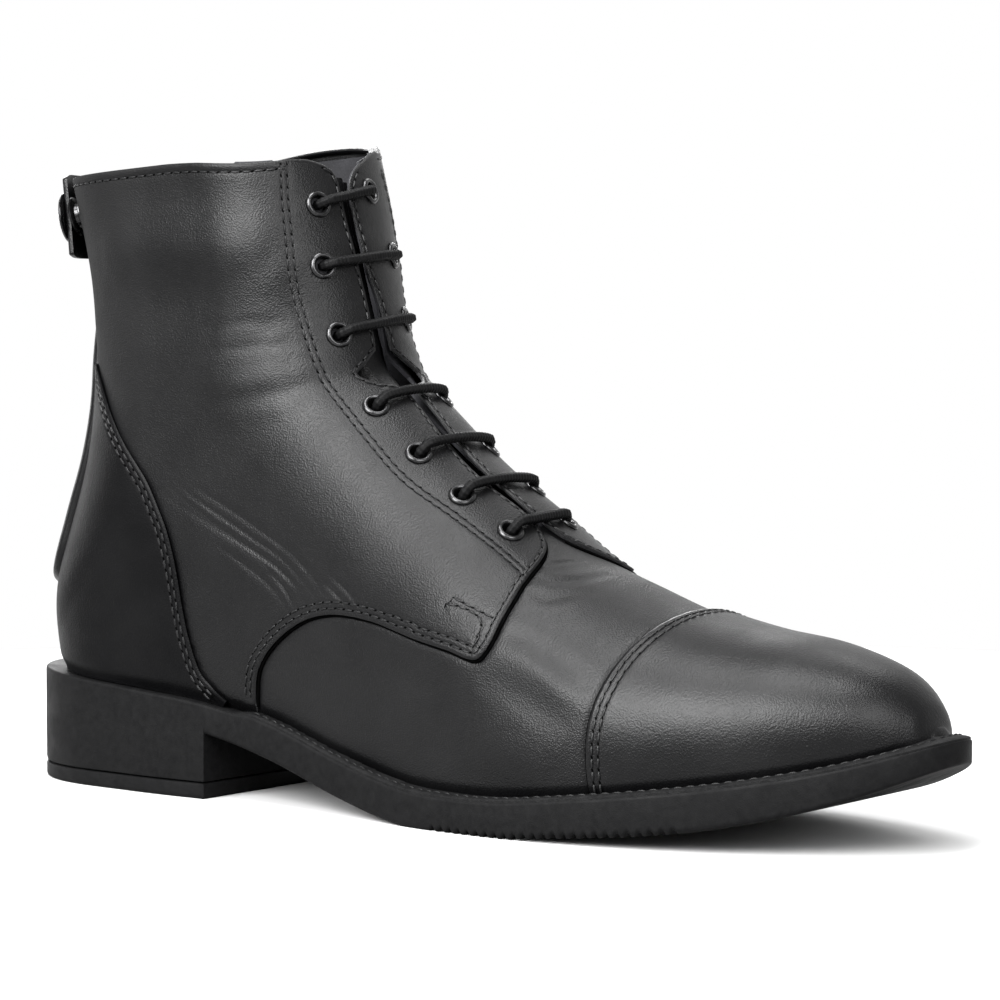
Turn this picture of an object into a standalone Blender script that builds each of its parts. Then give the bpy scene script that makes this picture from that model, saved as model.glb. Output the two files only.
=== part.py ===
"""Jodhpur boot for the right foot: leather upper, rubber sole, lace, eyelets and back closure.

The tables are in millimetres: x runs from the back edge of the sole to the toe, y towards the
inner side of the foot and z up from the floor. The model is in metres, with its origin on the
floor under the middle of the sole.
"""
import math
from collections import namedtuple

import bmesh
import bpy
from mathutils import Matrix, Vector

# Driving sizes
SOLE_LENGTH = 300.6
SOLE_MIDDLE_Y = 1.4
HEEL_BREAST = 81.0
LIFT_THICKNESS = 4.4
WALL = 2.0
LAP = 1.2
GAP = 0.3
WELT_HEIGHT = 2.0
WELT_START = 88.0
TOP_Z = 181.0
MEDIAL_RISE = 0.058
RISE_FROM_Z = 60.0
BACK_ROUND = 37.0
BACK_POWER = 2.2
EYELET_HOLE = 2.3
EYELET_BARREL = 2.8
EYELET_FLANGE = 3.8
EYELET_SIDES = 10
LACE_RADIUS = 1.4
TONGUE_DEPTH = 7.8
TONGUE_SPAN = 0.065
TONGUE_DIP = 4.0
SNAP_RADIUS = 7.5
MM = 0.001

# The line where upper and sole meet, from heel to toe, seen from the side
Feather = namedtuple("Feather", "x z")
FEATHER = [
    Feather(-2, 33.4), Feather(25, 31.5), Feather(55, 29.3), Feather(80, 27.0), Feather(105, 21.6),
    Feather(130, 14.2), Feather(155, 8.9), Feather(175, 7.9), Feather(190, 8.3), Feather(206, 9.9),
    Feather(231, 12.8), Feather(256, 16.5), Feather(281, 21.7), Feather(304, 28.8),
]
# Thickness of the sole in front of the heel
Thickness = namedtuple("Thickness", "x thick")
SOLE_THICKNESS = [
    Thickness(81, 8.3), Thickness(120, 8.8), Thickness(160, 8.3), Thickness(200, 8.2), Thickness(236, 9.0),
    Thickness(262, 8.5), Thickness(285, 6.7), Thickness(301, 5.0),
]

# Sections of the last across the foot, toe to heel: the section starts on the feather line at
# base_x and runs to the ridge point, which lies ridge_y off the middle; outer and inner are half
# widths, flat is the share of the section that stays at full width, power rounds it over to the
# ridge, tuck draws in its foot
Foot = namedtuple("Foot", "base_x ridge_x ridge_y ridge_z outer inner flat power tuck")
FOOT_SECTIONS = [
    Foot(293.4, 292.8, 0.0, 31.0, 4.5, 4.5, 0.30, 2.4, 0.00),
    Foot(290.6, 289.8, 0.0, 37.4, 10.0, 10.0, 0.30, 2.3, 0.02),
    Foot(280.0, 280.5, 0.0, 44.3, 19.0, 19.5, 0.30, 2.2, 0.03),
    Foot(261.0, 262.5, 0.0, 49.7, 28.0, 30.0, 0.30, 2.1, 0.03),
    Foot(241.0, 242.0, -0.6, 52.6, 34.5, 37.5, 0.28, 2.1, 0.03),
    Foot(221.0, 221.8, -1.6, 57.4, 39.5, 43.0, 0.27, 2.0, 0.03),
    Foot(204.0, 204.7, -3.2, 63.8, 42.5, 45.0, 0.32, 1.95, 0.03),
    Foot(184.0, 186.4, -4.8, 71.8, 42.5, 43.0, 0.42, 1.95, 0.04),
    Foot(160.0, 169.7, -5.0, 84.5, 40.5, 39.0, 0.50, 1.95, 0.06),
    Foot(133.0, 153.0, -5.0, 96.4, 38.0, 35.0, 0.56, 1.95, 0.11),
    Foot(100.0, 139.0, -5.0, 108.5, 36.0, 33.5, 0.62, 1.95, 0.16),
    Foot(55.0, 124.2, -5.0, 121.2, 35.0, 34.0, 0.70, 2.0, 0.15),
    Foot(25.0, 120.5, -5.0, 130.0, 35.0, 34.0, 0.72, 2.0, 0.12),
    Foot(8.8, 117.9, -5.0, 139.5, 34.8, 34.0, 0.73, 2.0, 0.08),
]

# Sections of the shaft, heel to collar: from the centre back line to the ridge
Shaft = namedtuple("Shaft", "back_x back_z ridge_x ridge_y ridge_z outer inner flat power")
SHAFT_SECTIONS = [
    Shaft(8.4, 42, 116.5, -5.0, 145.0, 34.5, 34.0, 0.73, 2.0),
    Shaft(9.4, 58, 115.3, -5.0, 150.0, 34.5, 34.0, 0.73, 2.0),
    Shaft(15.3, 76, 114.1, -5.0, 155.0, 34.2, 33.8, 0.73, 2.0),
    Shaft(22.1, 95, 112.3, -5.0, 160.0, 34.0, 33.8, 0.72, 2.0),
    Shaft(25.4, 113, 110.6, -5.0, 165.5, 34.0, 33.8, 0.72, 2.0),
    Shaft(23.9, 132, 109.0, -5.0, 171.0, 34.0, 33.8, 0.72, 2.0),
    Shaft(19.7, 150, 107.3, -5.0, 176.0, 34.2, 34.0, 0.72, 2.0),
    Shaft(12.0, 175.6, 105.6, -5.0, TOP_Z, 34.5, 34.5, 0.72, 2.0),
]

# Half widths of the sole, heel to toe; both ends are rounded off by a formula
Sole = namedtuple("Sole", "x outer inner")
SOLE_WIDTHS = [
    Sole(0, 31.2, 31.2), Sole(34, 31.6, 31.6), Sole(64, 33.8, 32.5), Sole(95, 34.0, 31.0),
    Sole(120, 36.0, 32.0), Sole(145, 40.4, 36.0), Sole(170, 44.8, 43.0), Sole(196, 46.0, 48.2),
    Sole(216, 44.6, 48.8), Sole(236, 41.2, 45.5), Sole(256, 35.7, 39.0), Sole(274, 28.8, 31.0),
    Sole(288, 22.4, 23.5), Sole(302, 20.0, 20.5),
]
HEEL_ROUND = 40.0
TOE_ROUND = 22.0

# Seam lines seen from the side, the same on both sides of the boot
Seam = namedtuple("Seam", "x z")
QUARTER_EDGE = [
    Seam(175, 84), Seam(181, 76), Seam(184.5, 70), Seam(184, 62), Seam(182, 51), Seam(178.5, 45.2),
    Seam(170, 47), Seam(157, 49.8), Seam(144, 53), Seam(131, 54.3), Seam(121, 53), Seam(111, 47.5),
    Seam(105, 42), Seam(101.5, 34), Seam(100, 26),
]
COUNTER_EDGE = [
    Seam(20, 127), Seam(40, 116.5), Seam(52.5, 100), Seam(63, 88.5), Seam(69.5, 77), Seam(73.5, 65),
    Seam(76, 53), Seam(77.5, 42), Seam(80, 34), Seam(84, 27),
]
CAP_APEX_X = 224.5
CAP_ARC = 99.0

# Half of the gap between the two facings, along the throat from its foot to the collar
Throat = namedtuple("Throat", "x z half_gap")
THROAT = [
    Throat(183, 75, 0.2), Throat(180, 78, 1.3), Throat(164, 89, 1.6), Throat(145, 103, 1.7),
    Throat(130, 117, 2.1), Throat(120, 132, 2.0), Throat(115, 150, 1.6), Throat(110, 168, 1.6),
    Throat(109, 172, 2.2), Throat(108.2, 175, 4.2), Throat(107.4, 178, 7.2), Throat(106.6, 181, 11.0),
    Throat(104, 190, 17.0),
]
NOTCH = [Seam(120.8, 118.6), Seam(126.5, 129.0), Seam(136.0, 114.0)]

# Eyelet places seen from the side, collar first; the inner facing sits a little higher
Eyelet = namedtuple("Eyelet", "x z inner_x inner_z")
EYELETS = [
    Eyelet(108.4, 165.9, 108.4, 169.2),
    Eyelet(112.0, 149.0, 111.5, 151.1),
    Eyelet(117.2, 129.8, 115.0, 133.0),
    Eyelet(131.3, 109.8, 132.8, 110.8),
    Eyelet(146.2, 97.1, 148.0, 97.3),
    Eyelet(161.3, 86.0, 163.2, 86.4),
    Eyelet(175.7, 76.8, 175.8, 78.2),
]

# Half width of the strip over the back zip, from under the snap tab down
Strip = namedtuple("Strip", "z half_width")
ZIP_STRIP = [Strip(151.5, 9.0), Strip(120, 11.0), Strip(75, 17.5), Strip(58, 18.5), Strip(52, 13.5)]
STRIP_START = 2.0
STRIP_THICKNESS = 2.4

# Snap tab: places around the back, from the inner side to the free end on the outer side, with its
# distance from the leather
Tab = namedtuple("Tab", "y stand_off")
SNAP_TAB = [
    Tab(21, 1.6), Tab(17, 1.8), Tab(12, 2.2), Tab(6, 2.6), Tab(0, 2.7), Tab(-6, 2.7), Tab(-12, 2.7),
    Tab(-19, 2.7),
]
TAB_LOW_Z = 153.0
TAB_HIGH_Z = 174.5
TAB_THICKNESS = 1.5
SNAP_Y = -15.5
SNAP_Z = 164.0


def hermite(stations, values, at):
    """Smooth curve through the values, read at one station; straight beyond the ends."""
    last = len(stations) - 1

    def slope(i):
        before, after = max(i - 1, 0), min(i + 1, last)
        return (values[after] - values[before]) / (stations[after] - stations[before])

    if at <= stations[0]:
        return values[0] + slope(0) * (at - stations[0])
    if at >= stations[last]:
        return values[last] + slope(last) * (at - stations[last])
    i = max(k for k in range(last) if stations[k] <= at)
    step = stations[i + 1] - stations[i]
    u = (at - stations[i]) / step
    start = (1 + 2 * u) * (1 - u) ** 2 * values[i] + u * (1 - u) ** 2 * step * slope(i)
    end = u * u * (3 - 2 * u) * values[i + 1] + u * u * (u - 1) * step * slope(i + 1)
    return start + end


def column(table, name):
    return [getattr(row, name) for row in table]


def rounding(depth, reach, power):
    """Share of the full width at a depth behind a rounded end."""
    share = min(max(depth / reach, 0.0), 1.0)
    return (1.0 - (1.0 - share) ** power) ** (1.0 / power)


def feather_z(x):
    return hermite(column(FEATHER, "x"), column(FEATHER, "z"), x)


def back_x(z):
    """Centre back line of the boot at a height."""
    heights = [feather_z(FOOT_SECTIONS[-1].base_x)] + column(SHAFT_SECTIONS, "back_z")
    places = [FOOT_SECTIONS[-1].base_x] + column(SHAFT_SECTIONS, "back_x")
    return hermite(heights, places, max(z, heights[0]))


# Every section as base point, ridge point, half widths and shape
Section = namedtuple("Section", "base_x base_z ridge_x ridge_y ridge_z outer inner flat power tuck")
SECTIONS = [
    Section(row.base_x, feather_z(row.base_x), row.ridge_x, row.ridge_y, row.ridge_z, row.outer,
            row.inner, row.flat, row.power, row.tuck)
    for row in FOOT_SECTIONS
] + [
    Section(row.back_x, row.back_z, row.ridge_x, row.ridge_y, row.ridge_z, row.outer,
            row.inner, row.flat, row.power, 0.0)
    for row in SHAFT_SECTIONS
]
LAST_SECTION = len(SECTIONS) - 1
HEEL_CORNER = len(FOOT_SECTIONS) - 1


def section_at(s):
    """The last's section at a place between the numbered ones."""
    numbers = list(range(len(SECTIONS)))
    values = [hermite(numbers, column(SECTIONS, name), s) for name in Section._fields]
    row = Section(*values)
    if s <= HEEL_CORNER:
        return row._replace(base_z=feather_z(row.base_x))
    return row._replace(base_x=back_x(row.base_z))


def skin(s, t):
    """Point of the last's surface in mm: t is -1 at the outer feather edge, 0 on the ridge, 1 inside."""
    row = section_at(s)
    rise = 1.0 - abs(t)
    x = row.base_x + (row.ridge_x - row.base_x) * rise
    z = row.base_z + (row.ridge_z - row.base_z) * rise
    width = row.outer if t < 0 else row.inner
    width *= rounding(1.0 - rise, 1.0 - row.flat, row.power)
    width *= 1.0 - row.tuck * max(1.0 - rise / row.flat, 0.0) ** 2
    width *= rounding(x - back_x(z), BACK_ROUND, BACK_POWER)
    near_ridge = max(1.0 - (1.0 - rise) / (1.0 - row.flat), 0.0)
    y = math.copysign(width, t) + row.ridge_y * near_ridge ** 2
    lean = min(max((z - RISE_FROM_Z) / (TOP_Z - RISE_FROM_Z), 0.0), 1.0)
    return Vector((x, y, z + MEDIAL_RISE * y * lean))


def skin_normal(s, t):
    """Outward direction of the surface."""
    step = 0.02
    low, high = max(s - step, 0.0), min(s + step, LAST_SECTION)
    along = skin(high, t) - skin(low, t)
    across = skin(s, t + step) - skin(s, t - step)
    return across.cross(along).normalized()


def raised(s, t, height):
    return skin(s, t) + skin_normal(s, t) * height


def locate(x, z):
    """Section number and rise of the surface point seen from the side at x, z."""

    def side(s):
        row = section_at(s)
        run = Vector((row.ridge_x - row.base_x, row.ridge_z - row.base_z))
        return run.cross(Vector((x - row.base_x, z - row.base_z)))

    low, high = 0.0, float(LAST_SECTION)
    for _ in range(40):
        middle = 0.5 * (low + high)
        if side(middle) > 0.0:
            low = middle
        else:
            high = middle
    row = section_at(low)
    run = Vector((row.ridge_x - row.base_x, row.ridge_z - row.base_z))
    rise = run.dot(Vector((x - row.base_x, z - row.base_z))) / run.length_squared
    return low, rise


def back_depth(y):
    """How far forward of the centre back line the shaft lies at a distance y from it."""
    full = SHAFT_SECTIONS[-1].outer
    share = min(abs(y) / full, 1.0)
    return BACK_ROUND * (1.0 - (1.0 - share ** BACK_POWER) ** (1.0 / BACK_POWER))


def at_back(y, z, height):
    """Point at a height above the back of the shaft, and the outward direction there."""
    step = 0.5
    beside = (back_depth(y + step) - back_depth(y - step)) / (2.0 * step)
    upwards = (back_x(z + step) - back_x(z - step)) / (2.0 * step)
    normal = Vector((-1.0, beside, upwards)).normalized()
    return Vector((back_x(z) + back_depth(y), y, z)) + normal * height, normal


def to_model(point):
    return Vector((point[0] - 0.5 * SOLE_LENGTH, point[1] - SOLE_MIDDLE_Y, point[2])) * MM


def sole_half_width(x, side):
    width = hermite(column(SOLE_WIDTHS, "x"), column(SOLE_WIDTHS, side), x)
    return width * rounding(x, HEEL_ROUND, BACK_POWER) * rounding(SOLE_LENGTH - x, TOE_ROUND, 2.0)


def feather_half_width(x, side):
    """Half width of the upper where it meets the sole."""
    t = -1.0 if side == "outer" else 1.0
    low, high = 0.0, float(HEEL_CORNER)
    for _ in range(40):
        middle = 0.5 * (low + high)
        if section_at(middle).base_x > x:
            low = middle
        else:
            high = middle
    return abs(skin(low, t).y)


def plan_outline(half_width, start, end, steps, inset):
    """Closed plan outline, drawn in from its own edge by inset."""
    stations = [start + (end - start) * 0.5 * (1 - math.cos(math.pi * i / steps)) for i in range(steps + 1)]
    outer = [Vector((x, -half_width(x, "outer"))) for x in stations]
    inner = [Vector((x, half_width(x, "inner"))) for x in reversed(stations)]
    ring = outer + [point for point in inner if abs(point.y) > 0.01]
    if inset == 0.0:
        return ring
    moved = []
    for i, point in enumerate(ring):
        along = ring[(i + 1) % len(ring)] - ring[i - 1]
        inward = Vector((-along.y, along.x)).normalized()
        moved.append(point + inward * inset)
    return moved


def build_material(name, colour, roughness, metallic=0.0):
    material = bpy.data.materials.new(name)
    material.use_nodes = True
    shader = material.node_tree.nodes["Principled BSDF"]
    shader.inputs["Base Color"].default_value = (*colour, 1.0)
    shader.inputs["Roughness"].default_value = roughness
    shader.inputs["Metallic"].default_value = metallic
    return material


def add_object(name, mesh, collection, material=None):
    thing = bpy.data.objects.new(name, mesh)
    collection.objects.link(thing)
    if material is None:
        thing.hide_render = True
        thing.display_type = "WIRE"
    else:
        mesh.materials.append(material)
    return thing


def grid_mesh(name, rows, cap_first_row=False):
    """Open surface through rows of model points; points that fall together are welded.

    The faces are split the same way each time, so that layers made from one grid stay parallel.
    """
    form = bmesh.new()
    vertices = [[form.verts.new(point) for point in row] for row in rows]
    for row, after in zip(vertices, vertices[1:]):
        for i in range(len(row) - 1):
            form.faces.new((row[i], row[i + 1], after[i + 1], after[i]))
    if cap_first_row:
        form.faces.new(list(reversed(vertices[0])))
    bmesh.ops.remove_doubles(form, verts=form.verts, dist=0.01 * MM)
    bmesh.ops.dissolve_degenerate(form, edges=form.edges, dist=0.01 * MM)
    bmesh.ops.triangulate(form, faces=form.faces, quad_method="FIXED")
    form.normal_update()
    mesh = bpy.data.meshes.new(name)
    form.to_mesh(mesh)
    form.free()
    return mesh


def offset_mesh(mesh, height):
    """Moves an open surface outwards along its own normals."""
    directions = [vertex.normal.copy() for vertex in mesh.vertices]
    for vertex, direction in zip(mesh.vertices, directions):
        vertex.co += direction * height * MM


def thicken(thing, thickness, outwards):
    shell = thing.modifiers.new("thickness", "SOLIDIFY")
    shell.thickness = thickness * MM
    shell.offset = 1.0 if outwards else -1.0
    shell.use_even_offset = True


def combine(thing, other, operation):
    cut = thing.modifiers.new(operation.lower(), "BOOLEAN")
    cut.operation = operation
    cut.object = other
    cut.solver = "EXACT"


def extruded(name, outline, half_depth, matrix, collection, material=None):
    """Solid from a flat outline in mm, extruded both ways and set in place by matrix."""
    curve = bpy.data.curves.new(name, "CURVE")
    curve.dimensions = "2D"
    curve.fill_mode = "BOTH"
    curve.extrude = half_depth * MM
    spline = curve.splines.new("POLY")
    spline.points.add(len(outline) - 1)
    for place, point in zip(spline.points, outline):
        place.co = (point[0] * MM, point[1] * MM, 0.0, 1.0)
    spline.use_cyclic_u = True
    source = bpy.data.objects.new(name, curve)
    collection.objects.link(source)
    bpy.context.view_layer.update()
    flat = source.evaluated_get(bpy.context.evaluated_depsgraph_get())
    mesh = bpy.data.meshes.new_from_object(flat)
    bpy.data.objects.remove(source)
    bpy.data.curves.remove(curve)
    form = bmesh.new()
    form.from_mesh(mesh)
    bmesh.ops.remove_doubles(form, verts=form.verts, dist=0.001 * MM)
    bmesh.ops.recalc_face_normals(form, faces=form.faces)
    form.transform(matrix)
    form.to_mesh(mesh)
    form.free()
    mesh.name = name
    return add_object(name, mesh, collection, material)


TO_CENTRE = Matrix.Translation(to_model((0.0, 0.0, 0.0)))
SIDE_VIEW = TO_CENTRE @ Matrix.Rotation(math.radians(90), 4, "X")


def side_prism(name, outline, collection, half_depth=80.0):
    return extruded(name, outline, half_depth, SIDE_VIEW, collection)


def plan_solid(name, outline, collection, material=None):
    return extruded(name, outline, 60.0, TO_CENTRE, collection, material)


def band(low, high, start, end):
    """Side outline between two height functions, with corners under those of the upper's edge."""
    inner = [x for x in edge_stations() if start + 1.0 < x < end - 1.0]
    stations = [start, *inner, end]
    bottom = [(x, low(x)) for x in stations]
    top = [(x, high(x)) for x in reversed(stations)]
    return bottom + top


def sole_bottom(x):
    """Underside of the sole in front of the heel: arch, flat tread and toe spring."""
    thickness = hermite(column(SOLE_THICKNESS, "x"), column(SOLE_THICKNESS, "thick"), x)
    return max(feather_z(x) - GAP - thickness, 0.0)


def sole_profile():
    """Side outline of the outsole: heel block, arch, tread, toe spring and the seat of the upper."""
    back, front = -4.0, SOLE_LENGTH + 4.0
    steps = 30
    forward = [HEEL_BREAST + (front - HEEL_BREAST) * i / steps for i in range(steps + 1)]
    heel = [(back, LIFT_THICKNESS + GAP), (HEEL_BREAST, LIFT_THICKNESS + GAP)]
    under = [(x, sole_bottom(x)) for x in forward]
    seat = [(x, feather_z(x) - GAP) for x in reversed([back, *edge_stations(), front])]
    return heel + under + seat


def foot_numbers(steps=20):
    """Section numbers of the rows from the toe to just before the heel, closer together at both ends."""
    ease = 0.8 / (2.0 * math.pi)
    shares = [i / steps for i in range(steps)]
    return [HEEL_CORNER * (share - ease * math.sin(2.0 * math.pi * share)) for share in shares]


def edge_stations():
    """Places along the sole where the upper's lower edge has its corners."""
    numbers = foot_numbers() + [HEEL_CORNER]
    return sorted(section_at(s).base_x for s in numbers)


def upper_rows(top=LAST_SECTION, shaft_steps=9, half_steps=10):
    """Grid of surface points from toe to collar, closer together at the ridge and the back."""
    numbers = foot_numbers()
    numbers += [HEEL_CORNER + (LAST_SECTION - HEEL_CORNER) * i / shaft_steps for i in range(shaft_steps)]
    numbers.append(top)
    turns = [0.5 * (1 - math.cos(math.pi * i / half_steps)) for i in range(half_steps + 1)]
    places = [-1.0 + rise for rise in turns] + [1.0 - rise for rise in reversed(turns[:-1])]
    return [[to_model(skin(s, t)) for t in places] for s in numbers]


def surface_shell(name, start, thickness, collection, material=None, top=LAST_SECTION):
    """Shell that follows the upper, from a height above its surface."""
    mesh = grid_mesh(name, upper_rows(top), cap_first_row=True)
    offset_mesh(mesh, start)
    thing = add_object(name, mesh, collection, material)
    thicken(thing, thickness, outwards=True)
    return thing


def above_welt(x):
    """Lower edge of a layer that ends just above the welt."""
    return feather_z(x) + WELT_HEIGHT + GAP


def build_quarter_lap(cutters):
    """The quarters lie over the vamp: a raised layer sunk into the upper's wall."""
    sunk = 1.0
    below_collar = LAST_SECTION - 0.04
    lap = surface_shell("quarter_lap", -sunk, sunk + LAP, cutters, top=below_collar)
    edge = [(seam.x, seam.z) for seam in QUARTER_EDGE]
    foot = [(x, above_welt(x)) for x in (92.0, 80.0, 60.0)]
    top = [(-20, 60), (-20, 220), (190, 220), (190, 100)]
    combine(lap, side_prism("quarter_region", edge + foot + top, cutters), "INTERSECT")
    grown = [(seam.x + GAP, seam.z + GAP) for seam in COUNTER_EDGE] + [(-20, 10), (-20, 127.0 + GAP)]
    combine(lap, side_prism("counter_clearance", grown, cutters), "DIFFERENCE")
    return lap


def eyelet_frames():
    """Surface point and outward direction of each eyelet, by side and row."""
    frames = {}
    for side in ("outer", "inner"):
        for number, place in enumerate(EYELETS, start=1):
            s, t = on_side(side, *eyelet_place(place, side))
            frames[side, number] = (raised(s, t, LAP), skin_normal(s, t))
    return frames


def eyelet_place(place, side):
    return (place.x, place.z) if side == "outer" else (place.inner_x, place.inner_z)


def on_side(side, x, z):
    """Section number and turn of the point seen at x, z on one side of the boot."""
    s, rise = locate(x, z)
    return s, (1.0 - rise) * (-1.0 if side == "outer" else 1.0)


def facing_matrix(point, normal):
    turn = normal.to_track_quat("Z", "Y").to_matrix().to_4x4()
    return Matrix.Translation(to_model(point)) @ turn


def build_eyelet_holes(frames, cutters):
    form = bmesh.new()
    for point, normal in frames.values():
        bmesh.ops.create_cone(
            form, cap_ends=True, segments=EYELET_SIDES, radius1=(EYELET_BARREL + GAP) * MM,
            radius2=(EYELET_BARREL + GAP) * MM, depth=12.0 * MM, matrix=facing_matrix(point, normal))
    mesh = bpy.data.meshes.new("eyelet_holes")
    form.to_mesh(mesh)
    form.free()
    return add_object("eyelet_holes", mesh, cutters)


def build_throat_cutter(cutters):
    """Slot between the facings: an outline across the throat, cut straight in along its slope."""
    foot, top = THROAT[0], THROAT[-1]
    direction = Vector((top.x - foot.x, top.z - foot.z)).normalized()
    left, right = [], []
    for row in THROAT:
        reach = Vector((row.x - foot.x, row.z - foot.z)).dot(direction)
        middle = skin(locate(row.x, row.z)[0], 0.0).y
        left.append((reach, middle - row.half_gap))
        right.append((reach, middle + row.half_gap))
    outline = left + right[::-1]
    along = Vector((direction.x, 0.0, direction.y))
    across = Vector((0.0, 1.0, 0.0))
    through = along.cross(across)
    axes = Matrix((along, across, through)).transposed().to_4x4()
    place = Matrix.Translation(to_model((foot.x, 0.0, foot.z)))
    return extruded("throat_slot", outline, 24.0, place @ axes, cutters)


def build_upper(parts, cutters, leather, frames):
    mesh = grid_mesh("upper", upper_rows(), cap_first_row=True)
    upper = add_object("upper", mesh, parts, leather)
    thicken(upper, WALL, outwards=False)
    combine(upper, build_quarter_lap(cutters), "UNION")
    seat = band(lambda x: -20.0, lambda x: feather_z(x) - 0.2 * GAP, -10.0, SOLE_LENGTH + 10.0)
    combine(upper, side_prism("sole_seat", seat, cutters), "DIFFERENCE")
    combine(upper, build_throat_cutter(cutters), "DIFFERENCE")
    combine(upper, side_prism("ankle_notch", NOTCH, cutters, half_depth=40.0), "DIFFERENCE")
    combine(upper, build_eyelet_holes(frames, cutters), "DIFFERENCE")


def build_toe_cap(parts, cutters, leather):
    cap = surface_shell("toe_cap", GAP, LAP, parts, leather)
    form = bmesh.new()
    bmesh.ops.create_cone(
        form, cap_ends=True, segments=96, radius1=CAP_ARC * MM, radius2=CAP_ARC * MM, depth=0.6,
        matrix=Matrix.Translation(to_model((CAP_APEX_X - CAP_ARC, 0.0, 0.0))))
    mesh = bpy.data.meshes.new("cap_line")
    form.to_mesh(mesh)
    form.free()
    line = add_object("cap_line", mesh, cutters)
    edge = [(x, above_welt(x)) for x in (190.0, 206.0, 222.0, 238.0, 254.0, 270.0, 282.0, 294.0, 310.0)]
    behind = side_prism("behind_cap", [(190, 260), *edge, (310, -20), (-40, -20), (-40, 260)], cutters)
    combine(cap, behind, "DIFFERENCE")
    combine(cap, line, "DIFFERENCE")


def build_counter(parts, cutters, leather):
    counter = surface_shell("counter", GAP, LAP + 0.2, parts, leather)
    edge = [(seam.x, seam.z) for seam in COUNTER_EDGE[:-1]]
    foot = [(x, feather_z(x) + WELT_HEIGHT + 3 * GAP) for x in (82.0, 70.0, 55.0, 40.0, 25.0, 10.0, -10.0)]
    region = edge + foot + [(-20, 40), (-20, 127)]
    combine(counter, side_prism("counter_region", region, cutters), "INTERSECT")


def build_zip_strip(parts, cutters, leather):
    strip = surface_shell("zip_strip", STRIP_START, STRIP_THICKNESS, parts, leather)
    right = [(row.half_width, row.z) for row in ZIP_STRIP]
    left = [(-row.half_width, row.z) for row in reversed(ZIP_STRIP)]
    back_view = Matrix.Rotation(math.radians(90), 4, "Z") @ Matrix.Rotation(math.radians(90), 4, "X")
    combine(strip, extruded("strip_region", right + left, 45.0, TO_CENTRE @ back_view, cutters), "INTERSECT")


def build_snap(parts, leather, metal):
    heights = [TAB_LOW_Z, TAB_LOW_Z + 3.0, 0.5 * (TAB_LOW_Z + TAB_HIGH_Z), TAB_HIGH_Z]
    rows = []
    for z in heights:
        rows.append([to_model(at_back(tab.y, z, tab.stand_off)[0]) for tab in SNAP_TAB])
    tab = add_object("snap_tab", grid_mesh("snap_tab", rows), parts, leather)
    thicken(tab, TAB_THICKNESS, outwards=True)
    _, normal = at_back(SNAP_Y, SNAP_Z, 0.0)
    under_tab = hermite([-row.y for row in SNAP_TAB], column(SNAP_TAB, "stand_off"), -SNAP_Y)
    stud_seat = LAP + 0.5
    stud_top = under_tab - GAP - stud_seat
    stud = [(0, stud_top), (3.2, stud_top), (4.2, 0.5 * stud_top), (4.2, 0), (0, 0)]
    seat = at_back(SNAP_Y, SNAP_Z, stud_seat)[0]
    turned("snap_stud", stud, facing_matrix(seat, normal), parts, metal, 16)
    rim = SNAP_RADIUS
    cap = [(0, 1.5), (5.2, 1.3), (rim - 0.4, 0.8), (rim, 0.4), (rim - 0.6, 0), (0, 0)]
    cap_seat = at_back(SNAP_Y, SNAP_Z, under_tab + TAB_THICKNESS + GAP)[0]
    turned("snap_cap", cap, facing_matrix(cap_seat, normal), parts, metal, 20)


def turned(name, profile, matrix, parts, material, sides, closed=False):
    """Round piece from a profile of radius and height, top to bottom, spun about Z."""
    mesh = bpy.data.meshes.new(name)
    form = bmesh.new()
    points = [form.verts.new((radius * MM, 0.0, height * MM)) for radius, height in profile]
    pairs = list(zip(points, points[1:]))
    if closed:
        pairs.append((points[-1], points[0]))
    for start, end in pairs:
        form.edges.new((start, end))
    form.to_mesh(mesh)
    form.free()
    thing = add_object(name, mesh, parts, material)
    thing.matrix_world = matrix
    spin = thing.modifiers.new("spin", "SCREW")
    spin.steps = sides
    spin.render_steps = sides
    spin.use_merge_vertices = True
    spin.merge_threshold = 0.00001


def build_eyelets(parts, metal, frames):
    seat = 2.0 * GAP
    top = seat + 0.7
    profile = [
        (EYELET_HOLE, seat), (EYELET_HOLE + 0.6, top), (EYELET_FLANGE - 0.4, top), (EYELET_FLANGE, seat),
        (EYELET_BARREL, seat), (EYELET_BARREL, -WALL - LAP), (EYELET_HOLE, -WALL - LAP),
    ]
    for (side, number), (point, normal) in frames.items():
        turned(f"eyelet_{side}_{number}", profile, facing_matrix(point, normal), parts, metal, EYELET_SIDES,
               closed=True)


def lace_route(frames):
    """Bars across the front from the lowest row up, joined behind the facings on alternate sides."""
    above = LACE_RADIUS + 1.9
    below = -WALL - LAP - LACE_RADIUS - GAP
    route = []
    sides = ("outer", "inner")
    for number in range(len(EYELETS), 0, -1):
        point_a, normal_a = frames[sides[0], number]
        point_b, normal_b = frames[sides[1], number]
        across = (point_b - point_a).normalized()
        lean_a = (across - normal_a * across.dot(normal_a)).normalized()
        lean_b = (across - normal_b * across.dot(normal_b)).normalized()
        middle = 0.5 * (point_a + point_b)
        crown = (normal_a + normal_b).normalized()
        lift = (ridge_point(middle, crown) - middle).dot(crown) + LAP + LACE_RADIUS + GAP
        route += [
            point_a + normal_a * below,
            point_a - normal_a,
            point_a + normal_a * 1.6,
            point_a + normal_a * above + lean_a * 2.6,
            middle - across * 5.0 + crown * lift * 0.96,
            middle + across * 5.0 + crown * lift * 0.96,
            point_b + normal_b * above - lean_b * 2.6,
            point_b + normal_b * 1.6,
            point_b - normal_b,
            point_b + normal_b * below,
        ]
        if number > 1:
            route += hidden_run(EYELETS[number - 1], EYELETS[number - 2], sides[1], LAP + below - 2.8 * GAP)
        sides = (sides[1], sides[0])
    return route


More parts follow.
